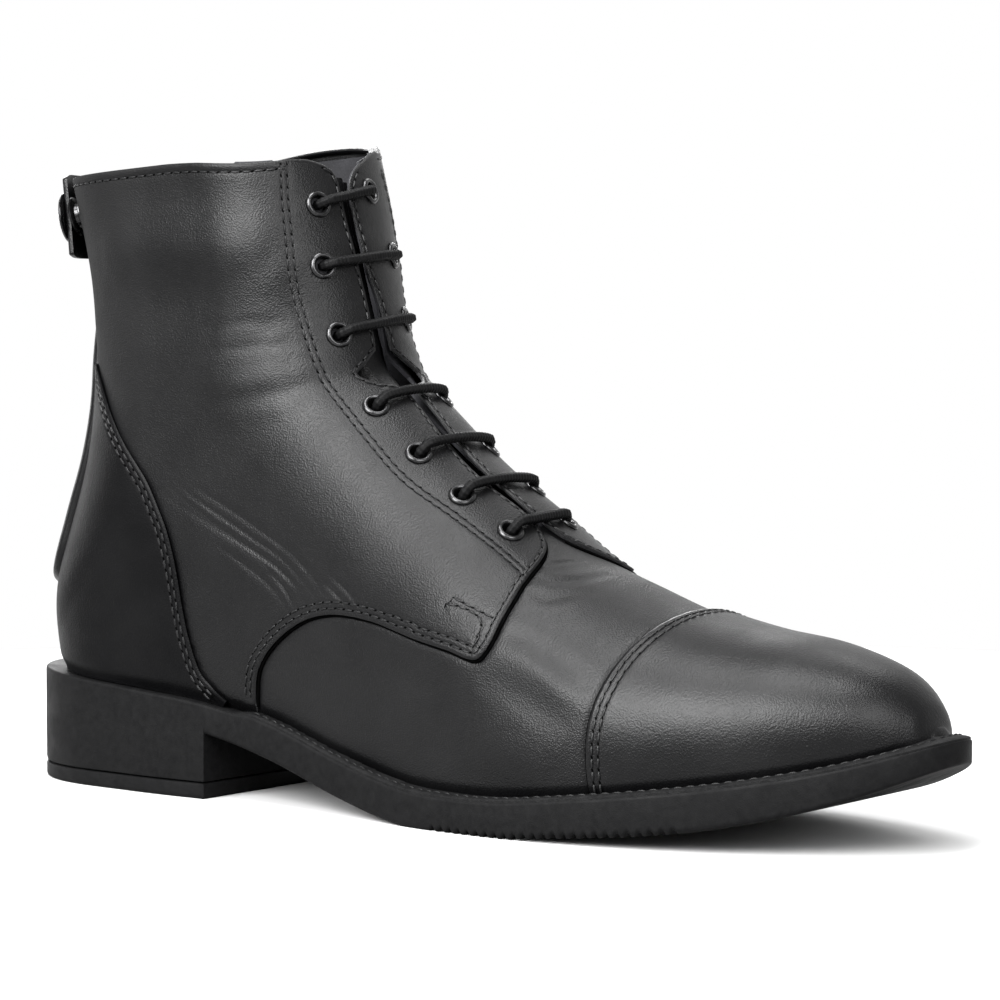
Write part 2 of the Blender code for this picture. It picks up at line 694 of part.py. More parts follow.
def hidden_run(start, end, side, depth):
    """The lace's way behind a facing, between two eyelets of one side."""
    points = []
    start_x, start_z = eyelet_place(start, side)
    end_x, end_z = eyelet_place(end, side)
    for share in (0.25, 0.5, 0.75):
        s, t = on_side(side, start_x + (end_x - start_x) * share, start_z + (end_z - start_z) * share)
        points.append(raised(s, t, depth))
    return points


def ridge_point(point, direction):
    """Where a line from inside the boot, in the middle plane, meets the ridge."""
    low, high = 0.0, 30.0
    for _ in range(30):
        reach = 0.5 * (low + high)
        probe = point + direction * reach
        if locate(probe.x, probe.z)[1] < 1.0:
            low = reach
        else:
            high = reach
    return point + direction * low


def build_lace(parts, cord, frames):
    curve = bpy.data.curves.new("lace", "CURVE")
    curve.dimensions = "3D"
    curve.bevel_depth = LACE_RADIUS * MM
    curve.bevel_resolution = 1
    curve.use_fill_caps = True
    route = lace_route(frames)
    spline = curve.splines.new("POLY")
    spline.points.add(len(route) - 1)
    for place, point in zip(spline.points, route):
        place.co = (*to_model(point), 1.0)
    curve.materials.append(cord)
    lace = bpy.data.objects.new("lace", curve)
    parts.objects.link(lace)


def build_tongue(parts, leather):
    """Tongue under the facings, sewn to the inside of the vamp at its foot."""
    first, _ = locate(196.0, 64.0)
    last = LAST_SECTION - 0.3
    count = 16
    shares = [-1.0, -0.5, -0.13, 0.0, 0.13, 0.5, 1.0]
    rows = []
    for i in range(count + 1):
        s = first + (last - first) * i / count
        sunk = min(WALL + GAP + 0.2 + TONGUE_DIP * (s - first), TONGUE_DEPTH)
        rows.append([to_model(raised(s, share * TONGUE_SPAN, -sunk)) for share in shares])
    tongue = add_object("tongue", grid_mesh("tongue", rows), parts, leather)
    thicken(tongue, WALL, outwards=False)


def build_sole(parts, cutters, rubber, welt_leather):
    outline = plan_outline(sole_half_width, 0.0, SOLE_LENGTH, 26, 0.0)
    outsole = plan_solid("outsole", outline, parts, rubber)
    combine(outsole, side_prism("sole_profile", sole_profile(), cutters), "INTERSECT")

    lift_outline = plan_outline(sole_half_width, 0.0, SOLE_LENGTH, 26, 0.8)
    lift = plan_solid("heel_lift", lift_outline, parts, rubber)
    slab = [(-4, 0), (HEEL_BREAST, 0), (HEEL_BREAST, LIFT_THICKNESS), (-4, LIFT_THICKNESS)]
    combine(lift, side_prism("lift_profile", slab, cutters), "INTERSECT")

    welt = plan_solid("welt", plan_outline(sole_half_width, 0.0, SOLE_LENGTH, 22, 1.2), parts, welt_leather)
    strip = band(feather_z, lambda x: feather_z(x) + WELT_HEIGHT, WELT_START, SOLE_LENGTH)
    combine(welt, side_prism("welt_profile", strip, cutters), "INTERSECT")
    inside = plan_outline(feather_half_width, FOOT_SECTIONS[-1].base_x, FOOT_SECTIONS[0].base_x, 22, -1.2)
    combine(welt, plan_solid("welt_inside", inside, cutters), "DIFFERENCE")

    insole_thickness = 3.0
    bed = plan_outline(feather_half_width, FOOT_SECTIONS[-1].base_x, FOOT_SECTIONS[0].base_x, 16, 3.2)
    insole = plan_solid("insole", bed, parts, welt_leather)
    slice_of_bed = band(feather_z, lambda x: feather_z(x) + insole_thickness, -4.0, SOLE_LENGTH + 4.0)
    combine(insole, side_prism("insole_profile", slice_of_bed, cutters), "INTERSECT")


def main():
    for thing in list(bpy.data.objects):
        bpy.data.objects.remove(thing)
    parts = bpy.data.collections.new("jodhpur_boot")
    cutters = bpy.data.collections.new("cutters")
    bpy.context.scene.collection.children.link(parts)
    bpy.context.scene.collection.children.link(cutters)
    leather = build_material("leather", (0.012, 0.012, 0.013), 0.42)
    lining = build_material("lining", (0.02, 0.02, 0.02), 0.8)
    rubber = build_material("rubber", (0.015, 0.015, 0.016), 0.6)
    cord = build_material("cord", (0.01, 0.01, 0.011), 0.85)
    metal = build_material("metal", (0.04, 0.04, 0.042), 0.3, 1.0)
    frames = eyelet_frames()
    build_sole(parts, cutters, rubber, lining)
    build_upper(parts, cutters, leather, frames)
    build_toe_cap(parts, cutters, leather)
    build_counter(parts, cutters, leather)
    build_tongue(parts, lining)
    build_zip_strip(parts, cutters, leather)
    build_snap(parts, leather, metal)
    build_eyelets(parts, metal, frames)
    build_lace(parts, cord, frames)


main()
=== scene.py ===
"""Looks of the jodhpur boot: leather panels, stitching, lace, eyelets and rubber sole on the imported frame.

Sizes are in millimetres: x runs from the back edge of the sole to the toe, y towards the inner side of
the foot and z up from the floor. A place on the leather is a pair (s, q): s is the section number from
the toe (0) to the collar (21), q runs from the outer edge (-1) over the ridge (0) to the inner edge (1).
Objects are made in metres, in the frame of the part.
"""
import math
from collections import namedtuple
from functools import lru_cache

import bpy
import numpy as np
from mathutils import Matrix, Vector
from mathutils.geometry import delaunay_2d_cdt
from mathutils.kdtree import KDTree


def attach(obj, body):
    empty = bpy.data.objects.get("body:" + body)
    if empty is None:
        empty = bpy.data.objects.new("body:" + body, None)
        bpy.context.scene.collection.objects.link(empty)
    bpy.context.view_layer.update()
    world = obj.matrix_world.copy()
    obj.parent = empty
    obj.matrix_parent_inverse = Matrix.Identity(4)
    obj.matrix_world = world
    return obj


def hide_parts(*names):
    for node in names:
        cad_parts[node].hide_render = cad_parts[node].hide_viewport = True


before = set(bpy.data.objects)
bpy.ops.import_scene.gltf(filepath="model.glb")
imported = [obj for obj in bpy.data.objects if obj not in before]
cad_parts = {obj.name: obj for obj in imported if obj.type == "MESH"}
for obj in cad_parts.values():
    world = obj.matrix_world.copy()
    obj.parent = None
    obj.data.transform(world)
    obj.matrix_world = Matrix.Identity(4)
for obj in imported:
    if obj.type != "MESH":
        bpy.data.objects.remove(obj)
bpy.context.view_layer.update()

# Sizes shared with the part
SOLE_LENGTH = 300.6
SOLE_MIDDLE_Y = 1.4
HEEL_BREAST = 81.0
LIFT_THICKNESS = 4.4
LAP = 1.2
GAP = 0.3
WALL = 2.0
WELT_HEIGHT = 2.0
WELT_START = 88.0
TOP_Z = 181.0
MEDIAL_RISE = 0.058
RISE_FROM_Z = 60.0
BACK_ROUND = 37.0
BACK_POWER = 2.2
HEEL_ROUND = 40.0
TOE_ROUND = 22.0
EYELET_HOLE = 2.3
EYELET_FLANGE = 3.8
LACE_RADIUS = 1.4
TONGUE_DEPTH = 7.8
SNAP_RADIUS = 7.5
STRIP_THICKNESS = 2.4
TAB_LOW_Z = 153.0
TAB_THICKNESS = 1.5
SNAP_Y = -15.5
CAP_APEX_X = 224.5
CAP_ARC = 99.0
MM = 0.001

# Sizes of what is added here, or follows the photo more closely than the part does
STRIP_START = 1.1
TAB_HIGH_Z = 177.0
SNAP_Z = 165.0
STITCH_PITCH = 3.3
STITCH_LENGTH = 2.5
THREAD_RADIUS = 0.3
THREAD_SINK = 0.22
HOLE_LENGTH = 1.1
HOLE_WIDTH = 0.62
# A black tube laid beside cut edges as painted shadow: its height, radius and offset from the edge
SHADOW_TUBE_HEIGHT = -0.1
SHADOW_TUBE_RADIUS = 0.45
SHADOW_TUBE_OFFSET = 0.3
ROW_SPACING = 1.7
DERBY_ROW_START = 20.0
COUNTER_TOP = 2.3
COUNTER_THINS = 1.1
CAP_TOP = 1.6
PANEL_THICKNESS = 1.0
EDGE_ROUND = 0.8
EDGE_DROP = 0.4
GROOVE_DEPTH = 0.17
GROOVE_WIDTH = 0.5
HOLLOW_DEPTH = 0.5
HOLLOW_WIDTH = 1.3
TUCK_DEPTH = 1.3
TUCK_REACH = 5.0
EDGE_ROW = 1.3
SEAM_ROW = 1.7
COLLAR_ROW = 2.4
COLLAR_DIP = 0.34
INNER_RISE = 0.25
LINING_DEPTH = 1.2
FOOT_LINING = 1.8
SOLE_RISE = 1.1
WELT_TAPER = 12.0
TAB_TILT = 0.6
TONGUE_CROWN = 4.4
RIB_PITCH = 3.0
RIB_DEPTH = 1.1
RIB_START = 166.0
RIB_END = 243.0
RIB_FADE = 2.0
LINE_STEP = 0.8
THREAD_SHARES = np.array([-1.0, -0.85, -0.4, 0.4, 0.85, 1.0])
THREAD_TAPER = np.array([0.3, 0.75, 1.0, 1.0, 0.75, 0.3])
THREAD_ARCH = 0.22
THREAD_SIDES = 6
HOLE_SIDES = 8
HOLE_SLANT = 0.45
HOLE_RIM = 0.1
HOLE_TOP = 0.2
HOLE_FLOOR = -0.3
SHADOW_TUBE_SIDES = 8
CREASE_FADE = 3.0
CORNER_Q = 0.2
CORNER_BULGE = {-1: 0.03, 1: 0.1}
UNDER_COUNTER = 5.0
UNDER_SINK = 0.9
UNDER_REACH = 2.5
EYELET_CLEARANCE = 0.4
CAP_NOSE = 1.2
CAP_TUCK_FROM = 0.3
CAP_TUCK_RUN = 1.2
VAMP_UNDER_CAP = 0.15
COUNTER_THIN_FROM = 8.0
COUNTER_THIN_RUN = 30.0
LINING_THICKNESS = 0.9
LINING_SETBACK = 0.012
LINING_CORNER = 0.1
LINING_CORNER_FROM = 20.4
LINING_CORNER_RUN = 0.6
LINING_OPENS = 7.3
LINING_SHORT = 0.02
FOOT_LINING_FROM = 11.0
FOOT_LINING_RUN = 2.5
COLLAR_ROLL_OUT = 1.6
COLLAR_ROLL_UP = 0.8
COLLAR_SINK = 0.5
COLLAR_EDGE_Q = 0.18
COLLAR_EDGE_DROP = 0.03
COLLAR_THIN_END = 0.15
COLLAR_THIN_COUNT = 14.0
TONGUE_START = 6.6
TONGUE_SHORT = 1.3
TONGUE_HALF_WIDTH = 13.0
TONGUE_THICKNESS = 1.5
TONGUE_SINK_FROM = 6.9
TONGUE_SINK_RATE = 4.0
TONGUE_CROWN_FROM = 7.4
TONGUE_CROWN_RUN = 0.6
TONGUE_CROWN_FLAT = 0.25
TONGUE_CROWN_SLOPE = 0.4
STRIP_ROUND = 9.0
STRIP_ROW = 2.6
STRIP_SINK = 0.35
STRIP_PAST_END = 1.5
STRIP_POWER = 2.3
STRIP_SIDE_EDGE = 1.8
STRIP_END_EDGE = 2.2
STRIP_ROW_LOW_Z = 68.0
STRIP_ROW_HIGH_Z = 148.0
TAB_START = -19.0
TAB_END = 21.0
TAB_ROUND = 5.0
TAB_NARROW = 0.12
TAB_EDGE = 0.5
TAB_END_EDGE = 0.9
SNAP_SEAT = 0.05
STUD_SEAT = 0.1
STUD_CLEARANCE = 0.15
LACE_SIDES = 24
LACE_STEP = 0.25
BRAID_STRANDS = 3.0
BRAID_TWIST = 2.6
BRAID_GROUND = 0.95
BRAID_BUMP = 0.11
BAR_START = 0.75
BAR_CLEARANCE = 0.1
BAR_CROWN = 0.96
BAR_HALF_CROWN = 5.0
LACE_BEHIND = 2.8
HEEL_SOLE = 8.3
HEEL_SEAM = 0.9
LIFT_SEAM = 0.35
WELT_INSET = 0.3
WELT_ROW = 0.42
INSOLE_INSET = 3.2
INSOLE_RISE = 2.6
INSOLE_DISH = 0.5
INSOLE_THICKNESS = 2.2


def table(kind, *rows):
    return [kind(*row) for row in rows]


# Tables of the last, the sole and the closures
Feather = namedtuple("Feather", "x z")
FEATHER = table(
    Feather,
    (-2, 33.4), (25, 31.5), (55, 29.3), (80, 27.0), (105, 21.6), (130, 14.2), (155, 8.9), (175, 7.9),
    (190, 8.3), (206, 9.9), (231, 12.8), (256, 16.5), (281, 21.7), (304, 28.8),
)
Thickness = namedtuple("Thickness", "x thick")
SOLE_THICKNESS = table(
    Thickness,
    (81, 8.3), (120, 8.8), (160, 8.3), (200, 8.2), (236, 9.0), (262, 8.5), (285, 6.7), (301, 5.0),
)
Foot = namedtuple("Foot", "base_x ridge_x ridge_y ridge_z outer inner flat power tuck")
FOOT_SECTIONS = table(
    Foot,
    (293.4, 292.8, 0.0, 31.0, 4.5, 4.5, 0.30, 2.4, 0.00),
    (290.6, 289.8, 0.0, 37.4, 10.0, 10.0, 0.30, 2.3, 0.02),
    (280.0, 280.5, 0.0, 44.3, 19.0, 19.5, 0.30, 2.2, 0.03),
    (261.0, 262.5, 0.0, 49.7, 28.0, 30.0, 0.30, 2.1, 0.03),
    (241.0, 242.0, -0.6, 52.6, 34.5, 37.5, 0.28, 2.1, 0.03),
    (221.0, 221.8, -1.6, 57.4, 39.5, 43.0, 0.27, 2.0, 0.03),
    (204.0, 204.7, -3.2, 63.8, 42.5, 45.0, 0.32, 1.95, 0.03),
    (184.0, 186.4, -4.8, 71.8, 42.5, 43.0, 0.42, 1.95, 0.04),
    (160.0, 169.7, -5.0, 84.5, 40.5, 39.0, 0.50, 1.95, 0.06),
    (133.0, 153.0, -5.0, 96.4, 38.0, 35.0, 0.56, 1.95, 0.11),
    (100.0, 139.0, -5.0, 108.5, 36.0, 33.5, 0.62, 1.95, 0.16),
    (55.0, 124.2, -5.0, 121.2, 35.0, 34.0, 0.70, 2.0, 0.15),
    (25.0, 120.5, -5.0, 130.0, 35.0, 34.0, 0.72, 2.0, 0.12),
    (8.8, 117.9, -5.0, 139.5, 34.8, 34.0, 0.73, 2.0, 0.08),
)
Shaft = namedtuple("Shaft", "back_x back_z ridge_x ridge_y ridge_z outer inner flat power")
SHAFT_SECTIONS = table(
    Shaft,
    (8.4, 42, 116.5, -5.0, 145.0, 34.5, 34.0, 0.73, 2.0),
    (9.4, 58, 115.3, -5.0, 150.0, 34.5, 34.0, 0.73, 2.0),
    (15.3, 76, 114.1, -5.0, 155.0, 34.2, 33.8, 0.73, 2.0),
    (22.1, 95, 112.3, -5.0, 160.0, 34.0, 33.8, 0.72, 2.0),
    (25.4, 113, 110.6, -5.0, 165.5, 34.0, 33.8, 0.72, 2.0),
    (24.4, 132, 109.0, -5.0, 171.0, 34.0, 33.8, 0.72, 2.0),
    (22.2, 150, 107.3, -5.0, 176.0, 34.2, 34.0, 0.72, 2.0),
    (15.8, 175.6, 105.6, -5.0, TOP_Z, 34.5, 34.5, 0.72, 2.0),
)
Sole = namedtuple("Sole", "x outer inner")
SOLE_WIDTHS = table(
    Sole,
    (0, 31.2, 31.2), (34, 31.6, 31.6), (64, 33.8, 32.5), (95, 34.0, 31.0), (120, 36.0, 32.0),
    (145, 40.4, 36.0), (170, 44.8, 43.0), (196, 46.0, 48.2), (216, 44.6, 48.8), (236, 41.2, 45.5),
    (256, 35.7, 39.0), (274, 28.8, 31.0), (288, 22.4, 23.5), (302, 20.0, 20.5),
)
Eyelet = namedtuple("Eyelet", "x z inner_x inner_z")
EYELETS = table(
    Eyelet,
    (108.4, 165.9, 108.4, 169.2),
    (112.0, 149.0, 111.5, 151.1),
    (117.2, 129.8, 115.0, 133.0),
    (131.3, 109.8, 132.8, 110.8),
    (146.2, 97.1, 148.0, 97.3),
    (161.3, 86.0, 163.2, 86.4),
    (175.7, 76.8, 175.8, 78.2),
)
Strip = namedtuple("Strip", "z half_width")
ZIP_STRIP = table(Strip, (56, 17), (62, 23), (75, 23.5), (95, 23), (118, 20.5), (135, 14), (151.5, 10))
Tab = namedtuple("Tab", "y stand_off")
SNAP_TAB = table(
    Tab,
    (-19, 5.9), (-12, 5.6), (-6, 4.8), (0, 3.8), (6, 2.9), (12, 2.3), (17, 1.8), (21, 1.6),
)

# Seams seen from the side, the same on both sides of the boot
Seam = namedtuple("Seam", "x z")
DERBY_EDGE = table(
    Seam,
    (186.5, 65.0), (186.6, 60.5), (185.8, 55.0), (184.3, 48.6), (181.2, 45.2), (172, 47.2), (160, 49.6),
    (146, 53.0), (135, 54.3), (127, 54.0), (119, 52.0), (111, 47.8), (104, 42.1), (100, 36.5),
    (98, 27.0),
)
COUNTER_EDGE = table(
    Seam,
    (35, 121.5), (40, 116.7), (47, 107.3), (53, 99.8), (58.4, 93.5), (62.8, 88.0), (66.5, 81.6),
    (69.5, 75.4), (71.6, 68.4), (73, 61.5), (74.4, 52.3), (75.9, 44.9), (79, 35.8), (83.3, 31.5),
    (87.3, 27.9),
)
FACING_STITCH = table(
    Seam,
    (101.3, 176.1), (104.2, 159.0), (106.0, 148.6), (107.7, 139.9), (110.4, 131.3), (113.6, 123.3),
    (117.8, 115.5), (128.3, 105.2), (135.7, 98.6), (142.7, 92.6), (149.8, 87.6), (164.1, 79.6),
    (173.3, 74.0), (182.3, 68.0), (185.2, 65.9),
)
BOX_END = table(Seam, (169.6, 58.2), (171.4, 60.4))
BOX_TOP = table(Seam, (171.4, 60.4), (184.4, 55.3))
BOX_CURVE = table(
    Seam,
    (169.8, 58.8), (173.4, 58.3), (177.7, 56.9), (180.4, 55.2), (181.3, 53.2), (180.4, 49.3),
)
# Edges of the two facings seen from the front: height, and y of the outer and the inner edge
Facing = namedtuple("Facing", "z outer_y inner_y")
UPPER_FACING = table(
    Facing,
    (177.6, -17.0, 4.4), (176.4, -12.6, 1.8), (174.4, -9.6, -1.2), (170.4, -8.6, -4.3),
    (164, -8.7, -5.4), (155, -8.8, -5.6), (147.6, -8.2, -5.0), (136, -7.7, -2.2), (126.8, -8.1, -1.8),
)
NOTCH = table(Facing, (124.8, -8.5, -1.6), (121.4, -13.2, 3.6), (118.4, -17.7, 8.2))
NOTCH_FOOT = table(Facing, (117.6, -17.6, 8.2), (115.8, -14.6, 4.0), (115.2, -10.2, -1.4))
LOWER_FACING = table(
    Facing,
    (113.0, -8.0, -4.4), (106.6, -9.2, -5.6), (100.2, -10.3, -6.6), (88.8, -11.3, -8.2),
    (81.1, -9.4, -7.0), (79.3, -9.0, -6.4),
)
FACING_CORNER = table(
    Facing,
    (77.2, -9.8, -5.6), (74.0, -12.0, -2.6), (71.6, -15.2, 1.6), (68.8, -20.4, 8.2),
    (65.0, -26.7, 16.5),
)
# Creases in the leather of the outer side: soft troughs along lines, swells where the depth is negative
Crease = namedtuple("Crease", "depth width line")
CREASES = [
    Crease(0.22, 0.81, table(Seam, (66.8, 86.5), (78.2, 80.4), (91, 74.4), (104.6, 68.5), (114.9, 62.5),
                                   (120.6, 56.4))),
    Crease(0.27, 0.9, table(Seam, (70.5, 86.8), (82.5, 80), (95.6, 73.6), (108.4, 67.7), (117.8, 61.6),
                                  (122.8, 56.8))),
    Crease(0.22, 0.81, table(Seam, (73.9, 87.4), (86.6, 80.8), (100.2, 74.2), (112, 68.4), (120.4, 62),
                                   (125.4, 57))),
    Crease(0.24, 0.9, table(Seam, (80.4, 87), (93.2, 81.2), (105.3, 75.3), (115.7, 69.9), (124.1, 63.4),
                                  (129.5, 58.3))),
    Crease(0.24, 0.81, table(Seam, (88, 71.5), (99, 66), (108, 60.5), (113.5, 55))),
    Crease(0.27, 0.81, table(Seam, (107.5, 64.9), (112.5, 60.7), (116.2, 55.4))),
    Crease(0.3, 0.81, table(Seam, (126.8, 63), (131.3, 60.4), (135.4, 57.8))),
    Crease(0.24, 0.81, table(Seam, (131, 64), (136, 61), (140.5, 57.6))),
    Crease(-0.4, 6.5, table(Seam, (72, 80), (86, 72), (98, 64), (106, 55))),
    Crease(0.28, 2.6, table(Seam, (83.8, 110.8), (96.3, 111.7), (107.9, 113.6), (115.9, 115.9),
                                  (120.7, 118.6))),
    Crease(0.14, 1.4, table(Seam, (78.1, 123.6), (92.4, 125.5), (104.9, 126.2), (110.7, 126.9))),
    Crease(0.12, 1.4, table(Seam, (78, 130.8), (95.3, 132.9), (106.7, 132.8))),
    Crease(-1.3, 8.5, table(Seam, (42, 154), (58, 153.9), (75, 154.2), (90, 153.3), (103, 151.9))),
    Crease(-0.5, 8.0, table(Seam, (80, 116), (96, 117), (110, 120))),
    Crease(0.2, 0.9, table(Seam, (186.3, 68.7), (188.2, 69.1), (191.6, 69.7))),
    Crease(0.3, 1.5, table(Seam, (187.8, 65.7), (192.5, 64.9), (196.3, 65.2), (199.1, 66.2))),
    Crease(0.25, 1.6, table(Seam, (188.8, 62.1), (193.5, 60.7), (198, 61.6), (202.9, 62.3))),
    Crease(0.5, 2.8, table(Seam, (186.7, 52.6), (195.4, 50.3), (204.9, 45.6), (214.8, 38.8))),
    Crease(0.2, 2.4, table(Seam, (118, 48.4), (131.3, 44.9), (148.2, 41.2), (166.7, 36.6))),
    Crease(-0.9, 7.0, table(Seam, (178, 27), (192, 23), (206, 16.5))),
    Crease(0.4, 4.0, table(Seam, (180.5, 42), (193.2, 38.2), (205.6, 32.4), (214, 28))),
]
FINE_CREASE = 1.2

# Surface of the last


def column(rows, name):
    return np.array([getattr(row, name) for row in rows], float)


def hermite(stations, values, at):
    """Smooth curve through the values, read at the given stations; straight beyond the ends."""
    stations, values = np.asarray(stations, float), np.asarray(values, float)
    at = np.asarray(at, float)
    last = len(stations) - 1
    before = np.maximum(np.arange(last + 1) - 1, 0)
    after = np.minimum(np.arange(last + 1) + 1, last)
    slope = (values[after] - values[before]) / (stations[after] - stations[before])
    i = np.clip(np.searchsorted(stations, at, side="right") - 1, 0, last - 1)
    step = stations[i + 1] - stations[i]
    u = np.clip((at - stations[i]) / step, 0.0, 1.0)
    start = (1 + 2 * u) * (1 - u) ** 2 * values[i] + u * (1 - u) ** 2 * step * slope[i]
    end = u * u * (3 - 2 * u) * values[i + 1] + u * u * (u - 1) * step * slope[i + 1]
    before_first = slope[0] * np.minimum(at - stations[0], 0.0)
    after_last = slope[last] * np.maximum(at - stations[last], 0.0)
    return start + end + before_first + after_last


def curve(rows, name, at):
    """Smooth curve through one column of a table, over its first column."""
    return hermite(column(rows, rows[0]._fields[0]), column(rows, name), at)


def halved(low, high, holds, steps):
    """Where a test that holds at the low ends stops holding before the high ends."""
    for _ in range(steps):
        middle = 0.5 * (low + high)
        found = holds(middle)
        low, high = np.where(found, middle, low), np.where(found, high, middle)
    return 0.5 * (low + high)


def pairs(first, second):
    return np.stack(np.broadcast_arrays(first, second), axis=-1)


def rounding(depth, reach, power):
    """Share of the full width at a depth behind a rounded end."""
    share = np.clip(depth / reach, 0.0, 1.0)
    return (1.0 - (1.0 - share) ** power) ** (1.0 / power)


def smoothstep(share):
    share = np.clip(share, 0.0, 1.0)
    return share * share * (3.0 - 2.0 * share)


def feather_z(x):
    return curve(FEATHER, "z", x)


HEEL_BASE_X = FOOT_SECTIONS[-1].base_x
BACK_HEIGHTS = np.array([float(feather_z(HEEL_BASE_X)), *column(SHAFT_SECTIONS, "back_z")])
BACK_PLACES = np.array([HEEL_BASE_X, *column(SHAFT_SECTIONS, "back_x")])


def back_x(z):
    """Centre back line of the boot at a height."""
    return hermite(BACK_HEIGHTS, BACK_PLACES, np.maximum(z, BACK_HEIGHTS[0]))


Section = namedtuple("Section", "base_x base_z ridge_x ridge_y ridge_z outer inner flat power tuck")
SECTIONS = [Section(row.base_x, float(feather_z(row.base_x)), *row[1:]) for row in FOOT_SECTIONS]
SECTIONS += [Section(*row, 0.0) for row in SHAFT_SECTIONS]
SECTION_NUMBERS = np.arange(len(SECTIONS), dtype=float)
LAST_SECTION = len(SECTIONS) - 1
HEEL_CORNER = len(FOOT_SECTIONS) - 1
RIDGE_SHARE = 0.5


def section_at(s):
    """The last's sections at places between the numbered ones."""
    row = Section(*(hermite(SECTION_NUMBERS, column(SECTIONS, name), s) for name in Section._fields))
    on_foot = np.asarray(s) <= HEEL_CORNER
    base_z = np.where(on_foot, feather_z(row.base_x), row.base_z)
    base_x = np.where(on_foot, row.base_x, back_x(row.base_z))
    return row._replace(base_x=base_x, base_z=base_z)


def skin_at_turn(s, t):
    """Points of the last's surface: t is the part's own turn, -1 at the outer edge, 0 on the ridge."""
    row = section_at(s)
    t = np.asarray(t, float)
    rise = 1.0 - np.abs(t)
    x = row.base_x + (row.ridge_x - row.base_x) * rise
    z = row.base_z + (row.ridge_z - row.base_z) * rise
    width = np.where(t < 0, row.outer, row.inner) * rounding(1.0 - rise, 1.0 - row.flat, row.power)
    width = width * (1.0 - row.tuck * np.maximum(1.0 - rise / row.flat, 0.0) ** 2)
    width = width * rounding(x - back_x(z), BACK_ROUND, BACK_POWER)
    near_ridge = np.maximum(1.0 - (1.0 - rise) / (1.0 - row.flat), 0.0)
    y = np.copysign(width, t) + row.ridge_y * near_ridge ** 2
    lean = np.clip((z - RISE_FROM_Z) / (TOP_Z - RISE_FROM_Z), 0.0, 1.0)
    return np.stack([x, y, z + MEDIAL_RISE * y * lean], axis=-1)


def turn_from_q(s, q):
    """q spreads the rounded front evenly, where the part's turn crowds it at the ridge."""
    reach = 1.0 - section_at(s).flat
    size = np.abs(q)
    bent = reach * (1.0 - np.cos(np.clip(size / RIDGE_SHARE, 0.0, 1.0) * 0.5 * math.pi))
    straight = reach + (1.0 - reach) * (size - RIDGE_SHARE) / (1.0 - RIDGE_SHARE)
    return np.sign(q) * np.where(size < RIDGE_SHARE, bent, straight)


def q_from_turn(s, t):
    reach = 1.0 - section_at(s).flat
    size = np.abs(t)
    bent = RIDGE_SHARE * np.arccos(np.clip(1.0 - size / reach, -1.0, 1.0)) / (0.5 * math.pi)
    straight = RIDGE_SHARE + (1.0 - RIDGE_SHARE) * (size - reach) / (1.0 - reach)
    return np.sign(t) * np.where(size < reach, bent, straight)


def skin(places):
    s, q = places[..., 0], places[..., 1]
    return skin_at_turn(s, turn_from_q(s, q))


def slopes(places):
    """How the surface point moves along s and along q."""
    along, across = np.array([0.01, 0.0]), np.array([0.0, 0.004])
    high = places + along
    high[..., 0] = np.minimum(high[..., 0], LAST_SECTION)
    low = places - along
    low[..., 0] = np.maximum(low[..., 0], 0.0)
    run = (high[..., 0] - low[..., 0])[..., None]
    return (skin(high) - skin(low)) / run, (skin(places + across) - skin(places - across)) / 0.008


def unit(vectors):
    return vectors / np.maximum(np.linalg.norm(vectors, axis=-1, keepdims=True), 1e-12)


def outward(places):
    along, across = slopes(places)
    normals = np.cross(across, along)
    at_back = (np.abs(places[..., 1]) > 0.999) & (places[..., 0] >= HEEL_CORNER)
    normals[..., 1] = np.where(at_back, 0.0, normals[..., 1])
    return unit(normals)


def locate(x, z):
    """Section number and part's turn, without sign, of a side view point before the collar's lean."""
    def ahead(s):
        row = section_at(s)
        return (row.ridge_x - row.base_x) * (z - row.base_z) > (row.ridge_z - row.base_z) * (x - row.base_x)

    s = halved(np.zeros_like(x), np.full_like(x, LAST_SECTION), ahead, 36)
    row = section_at(s)
    run_x, run_z = row.ridge_x - row.base_x, row.ridge_z - row.base_z
    rise = (run_x * (x - row.base_x) + run_z * (z - row.base_z)) / (run_x ** 2 + run_z ** 2)
    return s, 1.0 - rise


def q_at_y(s, y):
    """Where sections reach a distance y from the middle plane, near the ridge."""
    ends = np.full_like(s, -RIDGE_SHARE), np.full_like(s, RIDGE_SHARE)
    return halved(*ends, lambda q: skin(pairs(s, q))[:, 1] < y, 24)


def seen_from_front(side, edges):
    """Places of the facing's edge points near the ridge, from their y and height."""
    y, z = column(edges, "outer_y" if side < 0 else "inner_y"), column(edges, "z")
    ends = np.full_like(z, 5.0), np.full_like(z, LAST_SECTION)
    s = halved(*ends, lambda s: skin(pairs(s, q_at_y(s, y)))[:, 2] < z, 24)
    return pairs(s, q_at_y(s, y))


def side_line(side, seams, spacing=LINE_STEP):
    """Smooth curve through points seen from the side, as close places; side is -1 on the outer side."""
    corners = pairs(column(seams, "x"), column(seams, "z"))
    along = lengths_along(corners)
    x, z = read_smooth(spaced(along, spacing), along, corners).T
    level = z.copy()
    for _ in range(6):
        s, size = locate(x, level)
        level += z - skin_at_turn(s, side * size)[:, 2]
    return pairs(s, q_from_turn(s, side * size))


def lengths_along(points):
    return np.concatenate([[0.0], np.cumsum(np.linalg.norm(np.diff(points, axis=0), axis=1))])


def spaced(along, spacing):
    return np.linspace(0.0, along[-1], max(int(along[-1] / spacing), 1) + 1)


def read_smooth(at, along, line):
    """Points of the smooth curve through a line, at lengths along it."""
    return np.stack([hermite(along, values, at) for values in line.T], axis=-1)


def read_line(at, along, line):
    """Points of a line at lengths along it."""
    return np.stack([np.interp(at, along, values) for values in line.T], axis=-1)


def smooth_line(places):
    """Curve through places on the surface, sampled at short steps."""
    along = lengths_along(skin(places))
    return read_smooth(spaced(along, LINE_STEP), along, places)


